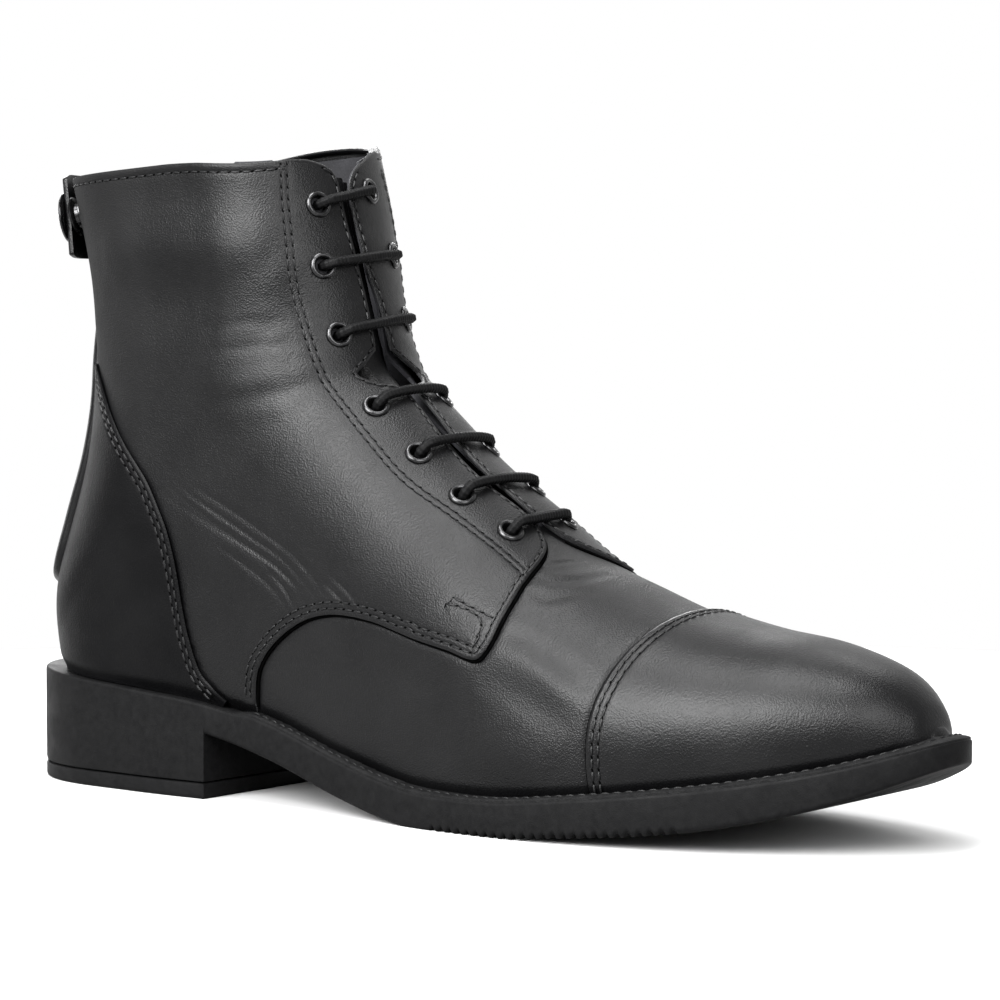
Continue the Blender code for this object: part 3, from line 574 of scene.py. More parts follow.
def shift(places, moves):
    """Places moved over the surface by vectors in mm."""
    along, across = slopes(places)
    a, b, c = (along ** 2).sum(-1), (along * across).sum(-1), (across ** 2).sum(-1)
    u, v = (along * moves).sum(-1), (across * moves).sum(-1)
    det = a * c - b * b
    return places + np.stack([(c * u - b * v) / det, (a * v - b * u) / det], axis=-1)


def tangents(points, closed=False):
    if closed:
        return unit(np.roll(points, -1, axis=0) - np.roll(points, 1, axis=0))
    return unit(np.gradient(points, axis=0))


def beside(line, distance, closed=False):
    """Line moved sideways over the surface, to the left as it is walked on the outside of the boot."""
    steps = max(int(abs(distance) / 1.5), 1)
    for _ in range(steps):
        ways = np.cross(outward(line), tangents(skin(line), closed))
        line = shift(line, ways * distance / steps)
    return line


def tree_of(points):
    tree = KDTree(len(points))
    for i, point in enumerate(points):
        tree.insert(point, i)
    tree.balance()
    return tree


def distances(tree, points):
    return np.array([tree.find(point)[2] for point in points])


def raised(places, height):
    """Points at a height above the surface, one for all places or one for each."""
    return skin(places) + outward(places) * np.asarray(height)[..., None]


def feather_outline():
    """Plan line where the leather meets the sole, from the outer side round the toe to the inner side."""
    s = np.linspace(0.0, HEEL_CORNER, 400)
    return np.concatenate([skin(pairs(s[::-1], -1.0)), skin(pairs(s, 1.0))])


@lru_cache
def feather_tree():
    return tree_of(feather_outline())


def tucked(points):
    """How far the leather turns in where it meets the sole."""
    return TUCK_DEPTH * (1.0 - smoothstep(distances(feather_tree(), points) / TUCK_REACH))


# Making pieces


def to_model(points):
    return (np.asarray(points) - (0.5 * SOLE_LENGTH, SOLE_MIDDLE_Y, 0.0)) * MM


def add_piece(name, points, faces, material, slot, replaced=(), sharp=40.0):
    """Mesh object from points in mm, riding on the boot's one body."""
    mesh = bpy.data.meshes.new(name)
    mesh.from_pydata(to_model(points).tolist(), [], [list(map(int, face)) for face in faces])
    mesh.validate()
    mesh.shade_smooth()
    mesh.set_sharp_from_angle(angle=math.radians(sharp))
    mesh.materials.append(material)
    thing = bpy.data.objects.new(name, mesh)
    bpy.context.scene.collection.objects.link(thing)
    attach(thing, "root")
    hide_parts(*replaced)
    return thing


def grid_faces(rows, columns, wrap=False, flip=False):
    """Quads of a grid numbered row by row; wrap joins the last column to the first."""
    i, j = np.meshgrid(np.arange(rows - 1), np.arange(columns if wrap else columns - 1), indexing="ij")
    after = (j + 1) % columns
    quads = [i * columns + j, i * columns + after, (i + 1) * columns + after, (i + 1) * columns + j]
    return np.stack(quads[::-1] if flip else quads, axis=-1).reshape(-1, 4)


def merged(parts):
    """One mesh from several, each given as points and faces."""
    points, faces, total = [], [], 0
    for part_points, part_faces in parts:
        points.append(part_points)
        faces += [[int(corner) + total for corner in face] for face in part_faces]
        total += len(part_points)
    return np.concatenate(points), faces


def circle(count, first, second):
    """Points round the origin, in the plane of two directions."""
    angles = np.linspace(0.0, 2.0 * math.pi, count, endpoint=False)
    return np.cos(angles)[:, None] * first + np.sin(angles)[:, None] * second


def welded(points, faces, size=0.005):
    """Joins points that fall together and drops the faces that collapse."""
    keys = np.round(points / size).astype(np.int64)
    _, first, index = np.unique(keys, axis=0, return_index=True, return_inverse=True)
    kept = []
    for face in index.reshape(-1)[faces]:
        corners = [int(c) for k, c in enumerate(face) if c != face[k - 1]]
        if len(set(corners)) > 2:
            kept.append(corners)
    return points[first], kept


def vertex_normals(points, faces):
    normals = np.zeros_like(points)
    for face in faces:
        corners = points[face]
        normals[face] += np.cross(corners[2] - corners[0], corners[-1] - corners[1])
    return unit(normals)


def solid(points, faces, thickness):
    """Closed body from a sheet: the sheet, its copy under it and the rim between them."""
    count = len(points)
    under = points - vertex_normals(points, faces) * thickness
    edges = {}
    for face in faces:
        for a, b in zip(face, np.roll(face, -1)):
            edges[int(a), int(b)] = True
    rim = [(b, a, a + count, b + count) for a, b in edges if (b, a) not in edges]
    lower = [[int(c) + count for c in reversed(face)] for face in faces]
    return np.concatenate([points, under]), [*[list(face) for face in faces], *lower, *rim]


def cut_edge(thing, sheet_faces):
    """Gives the rim of a panel made by solid() the look of cut leather."""
    thing.data.materials.append(CUT_EDGE)
    for face in thing.data.polygons[2 * len(sheet_faces):]:
        face.material_index = 1


def sweep_solid(loops):
    """Closed tube through rings of points, with flat ends."""
    rows, columns = len(loops), len(loops[0])
    faces = [list(face) for face in grid_faces(rows, columns, wrap=True)]
    faces.append(list(range(columns))[::-1])
    faces.append([(rows - 1) * columns + j for j in range(columns)])
    return np.concatenate(loops), faces


def inside(points, outline):
    """Which points of the (s, q) plane lie inside a closed outline."""
    found = np.zeros(len(points), bool)
    for a, b in zip(outline, np.roll(outline, -1, axis=0)):
        if a[1] == b[1]:
            continue
        between = (a[1] > points[:, 1]) != (b[1] > points[:, 1])
        cut = a[0] + (points[:, 1] - a[1]) / (b[1] - a[1]) * (b[0] - a[0])
        found ^= between & (points[:, 0] < cut)
    return found


def in_panel(points, outline, holes):
    """Which points lie inside an outline and outside the holes in it."""
    found = inside(points, outline)
    for hole in holes:
        found &= ~inside(points, hole)
    return found


RING_DEPTHS = (0.3, 0.65, 1.1, 1.8)
RING_CLEARANCE = 0.85
ROW_OFFSETS = (-0.9, -0.45, 0.0, 0.45, 0.9)
GRID_CLEARANCE = 0.8
GRID_ALONG = 0.09
GRID_ACROSS = 0.0125
PLANE_SCALE = np.array([15.0, 120.0])


def panel_sheet(outline, holes, rows):
    """Places and triangles over an outline, close together at its edges and at the stitched rows."""
    loops = [outline, *holes]
    rims = [skin(loop) for loop in loops]
    edge = tree_of(np.concatenate(rims))
    extra = []
    for loop in loops:
        for depth in RING_DEPTHS:
            for side in (-depth, depth):
                ring = beside(loop, side, closed=True)
                extra.append(ring[distances(edge, skin(ring)) > RING_CLEARANCE * depth])
    for row in rows:
        extra += [beside(row, offset) for offset in ROW_OFFSETS]
    low, high = outline.min(axis=0), outline.max(axis=0)
    steps = np.arange(low[0], high[0], GRID_ALONG), np.arange(low[1], high[1], GRID_ACROSS)
    s, q = np.meshgrid(*steps, indexing="ij")
    q = q + 0.5 * GRID_ACROSS * (np.round((s - low[0]) / GRID_ALONG) % 2)
    grid = pairs(s.ravel(), q.ravel())
    grid = grid[inside(grid, outline)]
    near = tree_of(np.concatenate([skin(np.concatenate(extra)), *rims]))
    grid = grid[distances(near, skin(grid)) > GRID_CLEARANCE]
    scattered = np.concatenate([*extra, grid])
    scattered = scattered[in_panel(scattered, outline, holes)]
    edges, start = [], 0
    for loop in loops:
        count = len(loop)
        edges += [(start + i, start + (i + 1) % count) for i in range(count)]
        start += count
    points = np.concatenate([*loops, scattered]) * PLANE_SCALE
    found = delaunay_2d_cdt([Vector(point) for point in points], edges, [], 0, 1e-5)
    places = np.array([list(point) for point in found[0]]) / PLANE_SCALE
    faces = np.array(found[2])
    keep = in_panel(places[faces].mean(axis=1), outline, holes)
    used, index = np.unique(faces[keep], return_inverse=True)
    places, faces = places[used], index.reshape(-1, 3)
    return places, outwards(places, faces), distances(edge, skin(places))


def outwards(places, faces):
    """Faces turned so that they look out of the boot."""
    points = skin(places)
    corners = points[faces]
    normals = np.cross(corners[:, 1] - corners[:, 0], corners[:, 2] - corners[:, 0])
    wrong = (normals * outward(places[faces[:, 0]])).sum(axis=1) < 0.0
    return np.where(wrong[:, None], faces[:, ::-1], faces)


def rounded_edge(depth):
    return EDGE_DROP * (1.0 - smoothstep(depth / EDGE_ROUND) ** 0.6)


@lru_cache
def crease_lines():
    return [skin(side_line(-1, crease.line, 0.5)) for crease in CREASES]


def crease_depth(points):
    """Soft troughs with low ridges beside them, fading out towards the ends of each line."""
    height = np.zeros(len(points))
    for crease, line in zip(CREASES, crease_lines()):
        tree = tree_of(line)
        near = [tree.find(point) for point in points]
        gap = np.array([found[2] for found in near]) / crease.width
        share = np.array([found[1] for found in near]) / (len(line) - 1)
        fade = np.sqrt(np.clip(np.sin(math.pi * np.clip(share, 0.02, 0.98)), 0.0, 1.0))
        trough = np.exp(-gap ** 2) - 0.45 * np.exp(-(gap - 1.8) ** 2)
        height -= crease.depth * fade * trough
    return height


def groove_depth(points, lines):
    """Hollow pressed into the leather along stitched lines."""
    gap = distances(tree_of(np.concatenate([skin(line) for line in lines])), points)
    return GROOVE_DEPTH * np.exp(-(gap / GROOVE_WIDTH) ** 2)


def build_stitches(name, rows, material, slot):
    """Threads of a seam as small arched capsules; each row is points and outward directions."""
    parts = []
    for line, normals in rows:
        along = lengths_along(line)
        for centre in np.arange(0.5 * STITCH_PITCH, along[-1], STITCH_PITCH):
            spine = read_line(centre + THREAD_SHARES * 0.5 * STITCH_LENGTH, along, line)
            up = unit(read_line(centre, along, normals))
            out = np.cross(up, unit(spine[-1] - spine[0]))
            spine = spine + up * (THREAD_ARCH * (1.0 - THREAD_SHARES ** 2))[:, None]
            rings = circle(THREAD_SIDES, out, up) * (THREAD_TAPER * THREAD_RADIUS)[:, None, None]
            parts.append(sweep_solid(spine[:, None, :] + rings))
    add_piece(name, *merged(parts), material, slot)


def build_hole_shade(name, rows):
    """Needle holes between the stitches as painted shade: flat black lenses that slant across the row."""
    faces = []
    for k in range(HOLE_SIDES):
        after = (k + 1) % HOLE_SIDES
        faces += [(k, after, HOLE_SIDES), (after, k, HOLE_SIDES + 1)]
    parts = []
    for line, normals in rows:
        along = lengths_along(line)
        for centre in np.arange(0.0, along[-1], STITCH_PITCH):
            before, place, after = read_line(centre + np.array([-0.5, 0.0, 0.5]), along, line)
            up = unit(read_line(centre, along, normals))
            ahead = unit(after - before)
            longest = unit(ahead + HOLE_SLANT * np.cross(up, ahead))
            across = np.cross(up, longest)
            ring = place + circle(HOLE_SIDES, 0.5 * HOLE_LENGTH * longest, 0.5 * HOLE_WIDTH * across)
            lens = [ring + up * HOLE_RIM, [place + up * HOLE_TOP], [place + up * HOLE_FLOOR]]
            parts.append((np.concatenate(lens), faces))
    add_piece(name, *merged(parts), PAINTED_SHADE, "leather")


def build_seam_shadow(name, line):
    """Black tube, a painted shadow, in the corner where a panel's cut edge stands on the leather under it.
    """
    spine, up = raised(line, SHADOW_TUBE_HEIGHT), outward(line)
    out = np.cross(up, tangents(spine))
    loops = [place + SHADOW_TUBE_RADIUS * circle(SHADOW_TUBE_SIDES, a, b) for place, a, b in zip(spine, up, out)]
    add_piece(name, *sweep_solid(loops), PAINTED_SHADE, "leather")


def surface_row(line, height):
    """Row of stitches at a height above the last: its points and the outward directions there."""
    return raised(line, height), outward(line)


# Materials


def new_material(name, colour, roughness, metallic=0.0):
    material = bpy.data.materials.new(name)
    material.use_nodes = True
    shader = material.node_tree.nodes["Principled BSDF"]
    shader.inputs["Base Color"].default_value = (*colour, 1.0)
    shader.inputs["Roughness"].default_value = roughness
    shader.inputs["Metallic"].default_value = metallic
    return material, shader


def add_node(material, kind, **settings):
    node = material.node_tree.nodes.new(kind)
    for name, value in settings.items():
        node.inputs[name.replace("_", " ")].default_value = value
    return node


def link(material, start, end):
    material.node_tree.links.new(start, end)


def noise(material, coordinates, scale, detail=3.0, roughness=0.55):
    node = add_node(material, "ShaderNodeTexNoise", Scale=scale, Detail=detail, Roughness=roughness)
    link(material, coordinates, node.inputs["Vector"])
    return node.outputs["Fac"]


def spread(material, value, low, high):
    """Maps a noise to a range of values."""
    node = add_node(material, "ShaderNodeMapRange", From_Min=0.3, From_Max=0.7, To_Min=low, To_Max=high)
    link(material, value, node.inputs["Value"])
    return node.outputs["Result"]


def bump(material, height, distance, strength, before=None):
    node = add_node(material, "ShaderNodeBump", Distance=distance, Strength=strength)
    link(material, height, node.inputs["Height"])
    if before is not None:
        link(material, before, node.inputs["Normal"])
    return node.outputs["Normal"]


def tint(material, shader, value, dark, light):
    ramp = add_node(material, "ShaderNodeValToRGB")
    for element, position, colour in zip(ramp.color_ramp.elements, (0.3, 0.7), (dark, light)):
        element.position = position
        element.color = (*colour, 1.0)
    link(material, value, ramp.inputs["Fac"])
    link(material, ramp.outputs["Color"], shader.inputs["Base Color"])


def object_place(material):
    return add_node(material, "ShaderNodeTexCoord").outputs["Object"]


DULL_X = -0.113
GLOSSY_X = -0.086
DULL_ROUGHNESS = 0.4


def duller_behind(material, place, wear):
    """Adds roughness towards the back of the shaft, where the leather is less polished."""
    ahead = add_node(material, "ShaderNodeSeparateXYZ")
    link(material, place, ahead.inputs["Vector"])
    limits = {"From_Min": DULL_X, "From_Max": GLOSSY_X, "To_Min": DULL_ROUGHNESS, "To_Max": 0.0}
    dull = add_node(material, "ShaderNodeMapRange", **limits)
    link(material, ahead.outputs["X"], dull.inputs["Value"])
    total = add_node(material, "ShaderNodeMath")
    link(material, wear, total.inputs[0])
    link(material, dull.outputs["Result"], total.inputs[1])
    return total.outputs["Value"]


def pebbles(material, place, size, depth):
    """Rounded cells of a leather's grain, with their size and depth in metres."""
    cells = add_node(material, "ShaderNodeTexVoronoi", Scale=1.0 / size, Randomness=1.0)
    cells.feature = "SMOOTH_F1"
    cells.inputs["Smoothness"].default_value = 0.6
    link(material, place, cells.inputs["Vector"])
    return bump(material, cells.outputs["Distance"], depth, 0.7)


# A noise of so many bumps in a metre, with the height of the bumps in metres and their strength
Grain = namedtuple("Grain", "scale detail height strength")
# A noise that runs between two values or two colours
Mottle = namedtuple("Mottle", "scale detail low high noise_roughness", defaults=(0.55,))
LEATHER_GRAINS = [Grain(3200.0, 4.0, 0.00012, 0.6), Grain(170.0, 3.0, 0.0012, 0.1)]


def ink(grey, blue):
    return grey, grey, blue


def grained_material(name, grains, wear, shade, gloss, pebble=None, dull_back=False, metallic=0.0):
    """Near black material with bumps, uneven roughness and a mottled colour."""
    material, shader = new_material(name, shade.low, wear.low, metallic)
    place = object_place(material)
    normal = pebbles(material, place, *pebble) if pebble else None
    for grain in grains:
        height = noise(material, place, grain.scale, grain.detail)
        normal = bump(material, height, grain.height, grain.strength, normal)
    link(material, normal, shader.inputs["Normal"])
    rough = spread(material, noise(material, place, wear.scale, wear.detail), wear.low, wear.high)
    if dull_back:
        rough = duller_behind(material, place, rough)
    link(material, rough, shader.inputs["Roughness"])
    patches = noise(material, place, shade.scale, shade.detail, shade.noise_roughness)
    tint(material, shader, patches, shade.low, shade.high)
    shader.inputs["Specular IOR Level"].default_value = gloss
    return material, shader


def leather_material(name, pebble, rough_low, rough_high, coat, gloss, dull_back=False):
    """Black grained leather: pebbles of the given size and depth, fine pores and worn, uneven gloss."""
    wear = Mottle(60.0, 5.0, rough_low, rough_high)
    shade = Mottle(45.0, 6.0, ink(0.0006, 0.0007), ink(0.0016, 0.0017))
    material, shader = grained_material(name, LEATHER_GRAINS, wear, shade, gloss, pebble, dull_back)
    shader.inputs["Coat Weight"].default_value = coat
    shader.inputs["Coat Roughness"].default_value = 0.32
    return material


def thread_material(name, dark, light, rough, gloss):
    """Fibres of a thread, a cord or a cut edge."""
    wear = Mottle(900.0, 3.0, rough - 0.08, rough + 0.12)
    shade = Mottle(700.0, 4.0, dark, light)
    material, _ = grained_material(name, [Grain(4200.0, 2.0, 0.0002, 0.6)], wear, shade, gloss)
    return material


def metal_material():
    """Black lacquered metal, a little worn."""
    wear = Mottle(400.0, 5.0, 0.18, 0.38)
    shade = Mottle(500.0, 5.0, ink(0.006, 0.0063), ink(0.02, 0.0207))
    grains = [Grain(1800.0, 3.0, 0.0001, 0.2)]
    material, shader = grained_material("black_metal", grains, wear, shade, 0.5, metallic=0.9)
    shader.inputs["Coat Weight"].default_value = 0.15
    shader.inputs["Coat Roughness"].default_value = 0.15
    return material


LEATHER = leather_material("black_leather", (0.00044, 0.00014), 0.30, 0.42, 0.01, 0.095, dull_back=True)
CAP_LEATHER = leather_material("smooth_leather", (0.0005, 0.00009), 0.27, 0.37, 0.015, 0.085)
COUNTER_LEATHER = leather_material("firm_leather", (0.0005, 0.00013), 0.36, 0.48, 0.01, 0.03)
LINING, _ = grained_material(
    "lining_dark", [Grain(1500.0, 4.0, 0.0003, 0.5)], Mottle(80.0, 4.0, 0.75, 0.75),
    Mottle(80.0, 4.0, ink(0.005, 0.0056), ink(0.011, 0.0125)), 0.1,
)
RUBBER, _ = grained_material(
    "sole_rubber", [Grain(3200.0, 3.0, 0.00015, 0.45), Grain(260.0, 4.0, 0.0006, 0.12)],
    Mottle(120.0, 6.0, 0.48, 0.68), Mottle(420.0, 8.0, ink(0.0012, 0.0013), ink(0.003, 0.0031), 0.7), 0.035,
)
WELT, _ = grained_material(
    "welt_strip", [Grain(900.0, 5.0, 0.0005, 0.6)], Mottle(150.0, 4.0, 0.5, 0.75),
    Mottle(300.0, 5.0, ink(0.001, 0.0011), ink(0.003, 0.0031)), 0.06,
)
THREAD = thread_material("black_thread", ink(0.0014, 0.0015), ink(0.004, 0.0042), 0.34, 0.11)
CUT_EDGE = thread_material("cut_leather", ink(0.012, 0.0124), ink(0.03, 0.031), 0.55, 0.1)
# Flat black for painted shade: the lenses in the needle holes and the shadow tubes beside cut edges
PAINTED_SHADE = thread_material("painted_shade_black", ink(0.0003, 0.0003), ink(0.0008, 0.0008), 0.9, 0.0)
WELT_THREAD = thread_material("welt_thread", ink(0.0012, 0.0013), ink(0.003, 0.0031), 0.4, 0.07)
CORD = thread_material("lace_cord", ink(0.0008, 0.0009), ink(0.002, 0.0021), 0.5, 0.05)
METAL = metal_material()

# Upper


@lru_cache
def facing_edge(side):
    """The facing's edge from the collar to the corner above the vamp, with the notch at the ankle."""
    runs = [UPPER_FACING, NOTCH, NOTCH_FOOT, LOWER_FACING + FACING_CORNER]
    places = [seen_from_front(side, run) for run in runs]
    lines = [smooth_line(run) for run in places]
    joined = [lines[0]]
    for before, line in zip(places, lines[1:]):
        joined.append(smooth_line(np.stack([before[-1], line[0]]))[1:-1])
        joined.append(line)
    return np.concatenate(joined)


def collar_section(q):
    """Section number of the collar, which dips to the front on the outer side and rises on the inner one."""
    dip = COLLAR_DIP * smoothstep((0.6 - np.abs(q)) / 0.4)
    rise = INNER_RISE * smoothstep((q - 0.22) / 0.12) * smoothstep((0.9 - q) / 0.4)
    return LAST_SECTION + np.where(q < 0.0, -dip, rise)


def collar_line(side, end_q):
    """Collar from the centre back to the facing's corner."""
    q = side * np.linspace(1.0, end_q, 120)
    return pairs(collar_section(q), q)


@lru_cache
def counter_line(side):
    return side_line(side, COUNTER_EDGE)


@lru_cache
def derby_line(side):
    return side_line(side, DERBY_EDGE)


def quarter_outline(side):
    """Collar, facing, derby edge, then under the counter back to the centre back line."""
    edge = facing_edge(side)
    top = collar_line(side, CORNER_Q)
    bulge = 0.5 * (top[-1] + edge[0]) + (CORNER_BULGE[side], 0.0)
    corner = smooth_line(np.stack([top[-1], bulge, edge[0]]))
    derby = derby_line(side)
    under = beside(counter_line(side)[::-1], -UNDER_COUNTER * side)
    under = under[under[:, 1] * side < 0.97]
    foot = pairs([derby[-1][0], under[0][0]], side * 0.999)
    back = pairs(np.linspace(under[-1][0] + 0.4, LAST_SECTION - 0.05, 50), side * 1.0)
    return np.concatenate([top, corner[1:-1], edge, derby[1:], foot, under, back])


def eyelet_places(side):
    names = ("x", "z") if side < 0 else ("inner_x", "inner_z")
    s, size = locate(*(column(EYELETS, name) for name in names))
    return pairs(s, q_from_turn(s, side * size))


def hole_loop(place, radius, count=20):
    normal = outward(place)
    first = unit(np.cross(normal, [0.0, 1.0, 0.0]))
    moves = circle(count, first, np.cross(normal, first))
    return shift(np.repeat(place[None, :], count, axis=0), moves * radius)


@lru_cache
def quarter_rows(side):
    """Stitched lines of a quarter: facing, derby edge, box at its corner, cut edge and collar."""
    facing = side_line(side, FACING_STITCH)
    derby = derby_line(side)
    derby = derby[np.abs(derby[:, 1]) < 0.95]
    derby_from = int(np.argmin(np.abs(lengths_along(skin(derby)) - DERBY_ROW_START)))
    collar = beside(collar_line(side, CORNER_Q), COLLAR_ROW * side)
    return [
        facing,
        beside(facing, -ROW_SPACING * side),
        beside(derby, SEAM_ROW * side),
        beside(derby[derby_from:], (SEAM_ROW + ROW_SPACING) * side),
        beside(facing_edge(side)[6:], EDGE_ROW * side),
        side_line(side, BOX_END),
        side_line(side, BOX_TOP),
        side_line(side, BOX_CURVE),
        collar[8:],
    ]


def quarter_creases(side, points, depth):
    """Creases of a quarter, fading out towards its edges."""
    if side > 0:
        return np.zeros(len(points))
    return crease_depth(points) * smoothstep(depth / CREASE_FADE)


def build_quarter(name, side):
    """Quarter with its facing, which sinks a little where the counter covers it."""
    outline = quarter_outline(side)
    holes = [hole_loop(place, EYELET_HOLE + EYELET_CLEARANCE) for place in eyelet_places(side)]
    rows = quarter_rows(side)
    fine = [side_line(side, crease.line) for crease in CREASES if crease.width < FINE_CREASE and side < 0]
    places, faces, depth = panel_sheet(outline, holes, [*rows, *fine])
    points = skin(places)
    counter = counter_line(side)[::-1]
    counter_q = np.interp(places[:, 0], counter[:, 0], np.abs(counter[:, 1]))
    gap = distances(tree_of(skin(counter)), points)
    covered = (np.abs(places[:, 1]) > counter_q) & (places[:, 0] <= counter[-1, 0])
    height = LAP - rounded_edge(depth) - groove_depth(points, rows) - tucked(points)
    height += quarter_creases(side, points, depth)
    height -= UNDER_SINK * smoothstep(np.where(covered, gap, -gap) / UNDER_REACH)
    sheet = solid(raised(places, height), faces, PANEL_THICKNESS)
    cut_edge(add_piece(name, *sheet, LEATHER, "leather", ["upper"]), faces)


def cap_section(q):
    """Section number where the toe cap's edge crosses each q."""
    def in_front(s):
        point = skin(pairs(s, q))
        return (point[:, 0] - CAP_APEX_X + CAP_ARC) ** 2 + point[:, 1] ** 2 > CAP_ARC ** 2

    return halved(np.full_like(q, 2.0), np.full_like(q, 8.0), in_front, 30)


def cap_line(reach=1.0, count=181):
    q = np.linspace(-reach, reach, count)
    return pairs(cap_section(q), q)


def cap_rows():
    line = cap_line(0.93, 300)
    return [beside(line, -SEAM_ROW), beside(line, -SEAM_ROW - ROW_SPACING)]


NEAR_DEPTHS = (0.0, 0.2, 0.5, 0.85, 1.2, 1.45, 1.7, 1.95, 2.25, 2.6, 2.9, 3.15, 3.4, 3.65, 4.0, 4.5)


def build_toe_cap():
    """Toe cap from its stitched edge to the tip, closed there by a small rounded nose."""
    line = cap_line()
    near = [beside(line, -depth) for depth in NEAR_DEPTHS]
    far = [near[-1] * (1.0 - share) + line * (0.0, share) for share in np.linspace(0.0, 1.0, 86)[1:]]
    places = np.concatenate([*near, *far])
    places[:, 1] = np.clip(places[:, 1], -1.0, 1.0)
    points = skin(places)
    depth = distances(tree_of(skin(cap_line(1.0, 500))), points)
    height = CAP_TOP - rounded_edge(depth) - groove_depth(points, cap_rows())
    height -= tucked(points) * smoothstep((places[:, 0] - CAP_TUCK_FROM) / CAP_TUCK_RUN)
    rows = [raised(places, height)]
    tip = rows[0][-len(line):]
    middle = 0.5 * (tip.min(axis=0) + tip.max(axis=0))
    for turn in 0.5 * math.pi * np.array([0.25, 0.5, 0.75, 1.0]):
        rows.append(middle + (tip - middle) * math.cos(turn) + (CAP_NOSE * math.sin(turn), 0.0, 0.0))
    sheet = np.concatenate(rows)
    points, faces = welded(sheet, grid_faces(len(sheet) // len(line), len(line), flip=True))
    add_piece("toe_cap_leather", *solid(points, faces, PANEL_THICKNESS), CAP_LEATHER, "leather", ["toe_cap"])


VampEnd = namedtuple("VampEnd", "q s")
VAMP_END = table(
    VampEnd,
    (0.0, 7.55), (0.3, 7.6), (0.4, 7.75), (0.47, 8.5), (0.55, 9.6), (0.65, 10.2), (0.76, 10.6),
    (1.0, 10.7),
)


def build_vamp():
    """Vamp from under the toe cap to under the quarters, a little hollowed along their edges."""
    q = np.linspace(-1.0, 1.0, 281)
    start = cap_section(q) - VAMP_UNDER_CAP
    end = np.interp(np.abs(q), column(VAMP_END, "q"), column(VAMP_END, "s"))
    shares = np.linspace(0.0, 1.0, 170)
    places = pairs(start + (end - start) * shares[:, None], q).reshape(-1, 2)
    points = skin(places)
    edges = [cap_line(), derby_line(-1), derby_line(1), facing_edge(-1)[-40:], facing_edge(1)[-40:]]
    gap = distances(tree_of(np.concatenate([skin(edge) for edge in edges])), points)
    height = crease_depth(points) - HOLLOW_DEPTH * np.exp(-(gap / HOLLOW_WIDTH) ** 2) - tucked(points)
    sheet = solid(raised(places, height), grid_faces(len(shares), len(q)), PANEL_THICKNESS)
    add_piece("vamp_leather", *sheet, LEATHER, "leather", ["upper"])


def counter_rows(side):
    line = counter_line(side)
    return [beside(line, offset * side)[4:-4] for offset in (SEAM_ROW, SEAM_ROW + ROW_SPACING)]


def build_counter():
    """Heel counter over both quarters, joined round the back and thinner there."""
    halves = []
    for side in (-1, 1):
        line = counter_line(side)
        near = [beside(line, depth * side) for depth in NEAR_DEPTHS]
        end = pairs(near[-1][:, 0], side)
        far = [near[-1] + (end - near[-1]) * share for share in np.linspace(0.0, 1.0, 61)[1:]]
        places = np.concatenate([*near, *far])
        places[:, 1] = np.clip(places[:, 1], -1.0, 1.0)
        points = skin(places)
        depth = distances(tree_of(skin(line)), points)
        height = COUNTER_TOP - rounded_edge(depth) - tucked(points)
        height -= groove_depth(points, counter_rows(side))
        height -= COUNTER_THINS * smoothstep((depth - COUNTER_THIN_FROM) / COUNTER_THIN_RUN)
        faces = grid_faces(len(near) + len(far), len(line), flip=side < 0)
        halves.append((raised(places, height), faces))
    sheet = solid(*welded(*merged(halves)), PANEL_THICKNESS)
    add_piece("counter_leather", *sheet, COUNTER_LEATHER, "leather", ["counter"])


def build_lining():
    """Lining of the whole boot, open at the collar and between the facings."""
    s = np.concatenate([np.linspace(0.0, 13.0, 90), np.linspace(13.1, LAST_SECTION - LINING_SHORT, 60)])
    shares = np.linspace(0.0, 1.0, 60)
    halves = []
    for side in (-1, 1):
        edge = facing_edge(side)
        edge = edge[np.argsort(edge[:, 0])]
        front = np.interp(s, edge[:, 0], np.abs(np.minimum(edge[:, 1] * side, CORNER_Q))) + LINING_SETBACK
        front = front + LINING_CORNER * smoothstep((s - LINING_CORNER_FROM) / LINING_CORNER_RUN)
        front = np.where(s < LINING_OPENS, 0.0, front)
        q = side * (front[:, None] + (1.0 - front)[:, None] * shares)
        places = pairs(np.minimum(s[:, None], collar_section(q) - LINING_SHORT), q).reshape(-1, 2)
        in_foot = 1.0 - smoothstep((places[:, 0] - FOOT_LINING_FROM) / FOOT_LINING_RUN)
        sheet = raised(places, -LINING_DEPTH - FOOT_LINING * in_foot - tucked(skin(places)))
        halves.append((sheet, grid_faces(len(s), len(shares), flip=side > 0)))
    sheet = solid(*welded(*merged(halves)), LINING_THICKNESS)
    add_piece("lining_leather", *sheet, LINING, "lining")


def build_collar_edge():
    """Rolled edge that closes the collar between leather and lining."""
    places = np.concatenate([collar_line(-1, COLLAR_EDGE_Q)[::-1], collar_line(1, COLLAR_EDGE_Q)[1:]])
    places = places - (COLLAR_EDGE_DROP, 0.0)
    base, normals = skin(places), outward(places)
    up = unit(np.cross(tangents(base), normals))
    up = up * np.sign(up[:, 2:3])
    base = base - normals * COLLAR_SINK - up * COLLAR_SINK
    numbers = np.arange(len(places))
    fade = smoothstep(np.minimum(numbers, numbers[::-1]) / COLLAR_THIN_COUNT)
    fade = COLLAR_THIN_END + (1.0 - COLLAR_THIN_END) * fade
    out, rise = normals * COLLAR_ROLL_OUT, up * COLLAR_ROLL_UP
    loops = [base[k] + circle(14, out[k], rise[k]) * fade[k] for k in numbers]
    add_piece("collar_edge", *sweep_solid(loops), LEATHER, "leather")


TongueMiddle = namedtuple("TongueMiddle", "s y")
TONGUE_MIDDLE = table(
    TongueMiddle,
    (TONGUE_START, -7.0), (8.4, -9.8), (10.4, -6.2), (12.5, -5.0), (16.2, -7.2), (LAST_SECTION, -5.0),
)


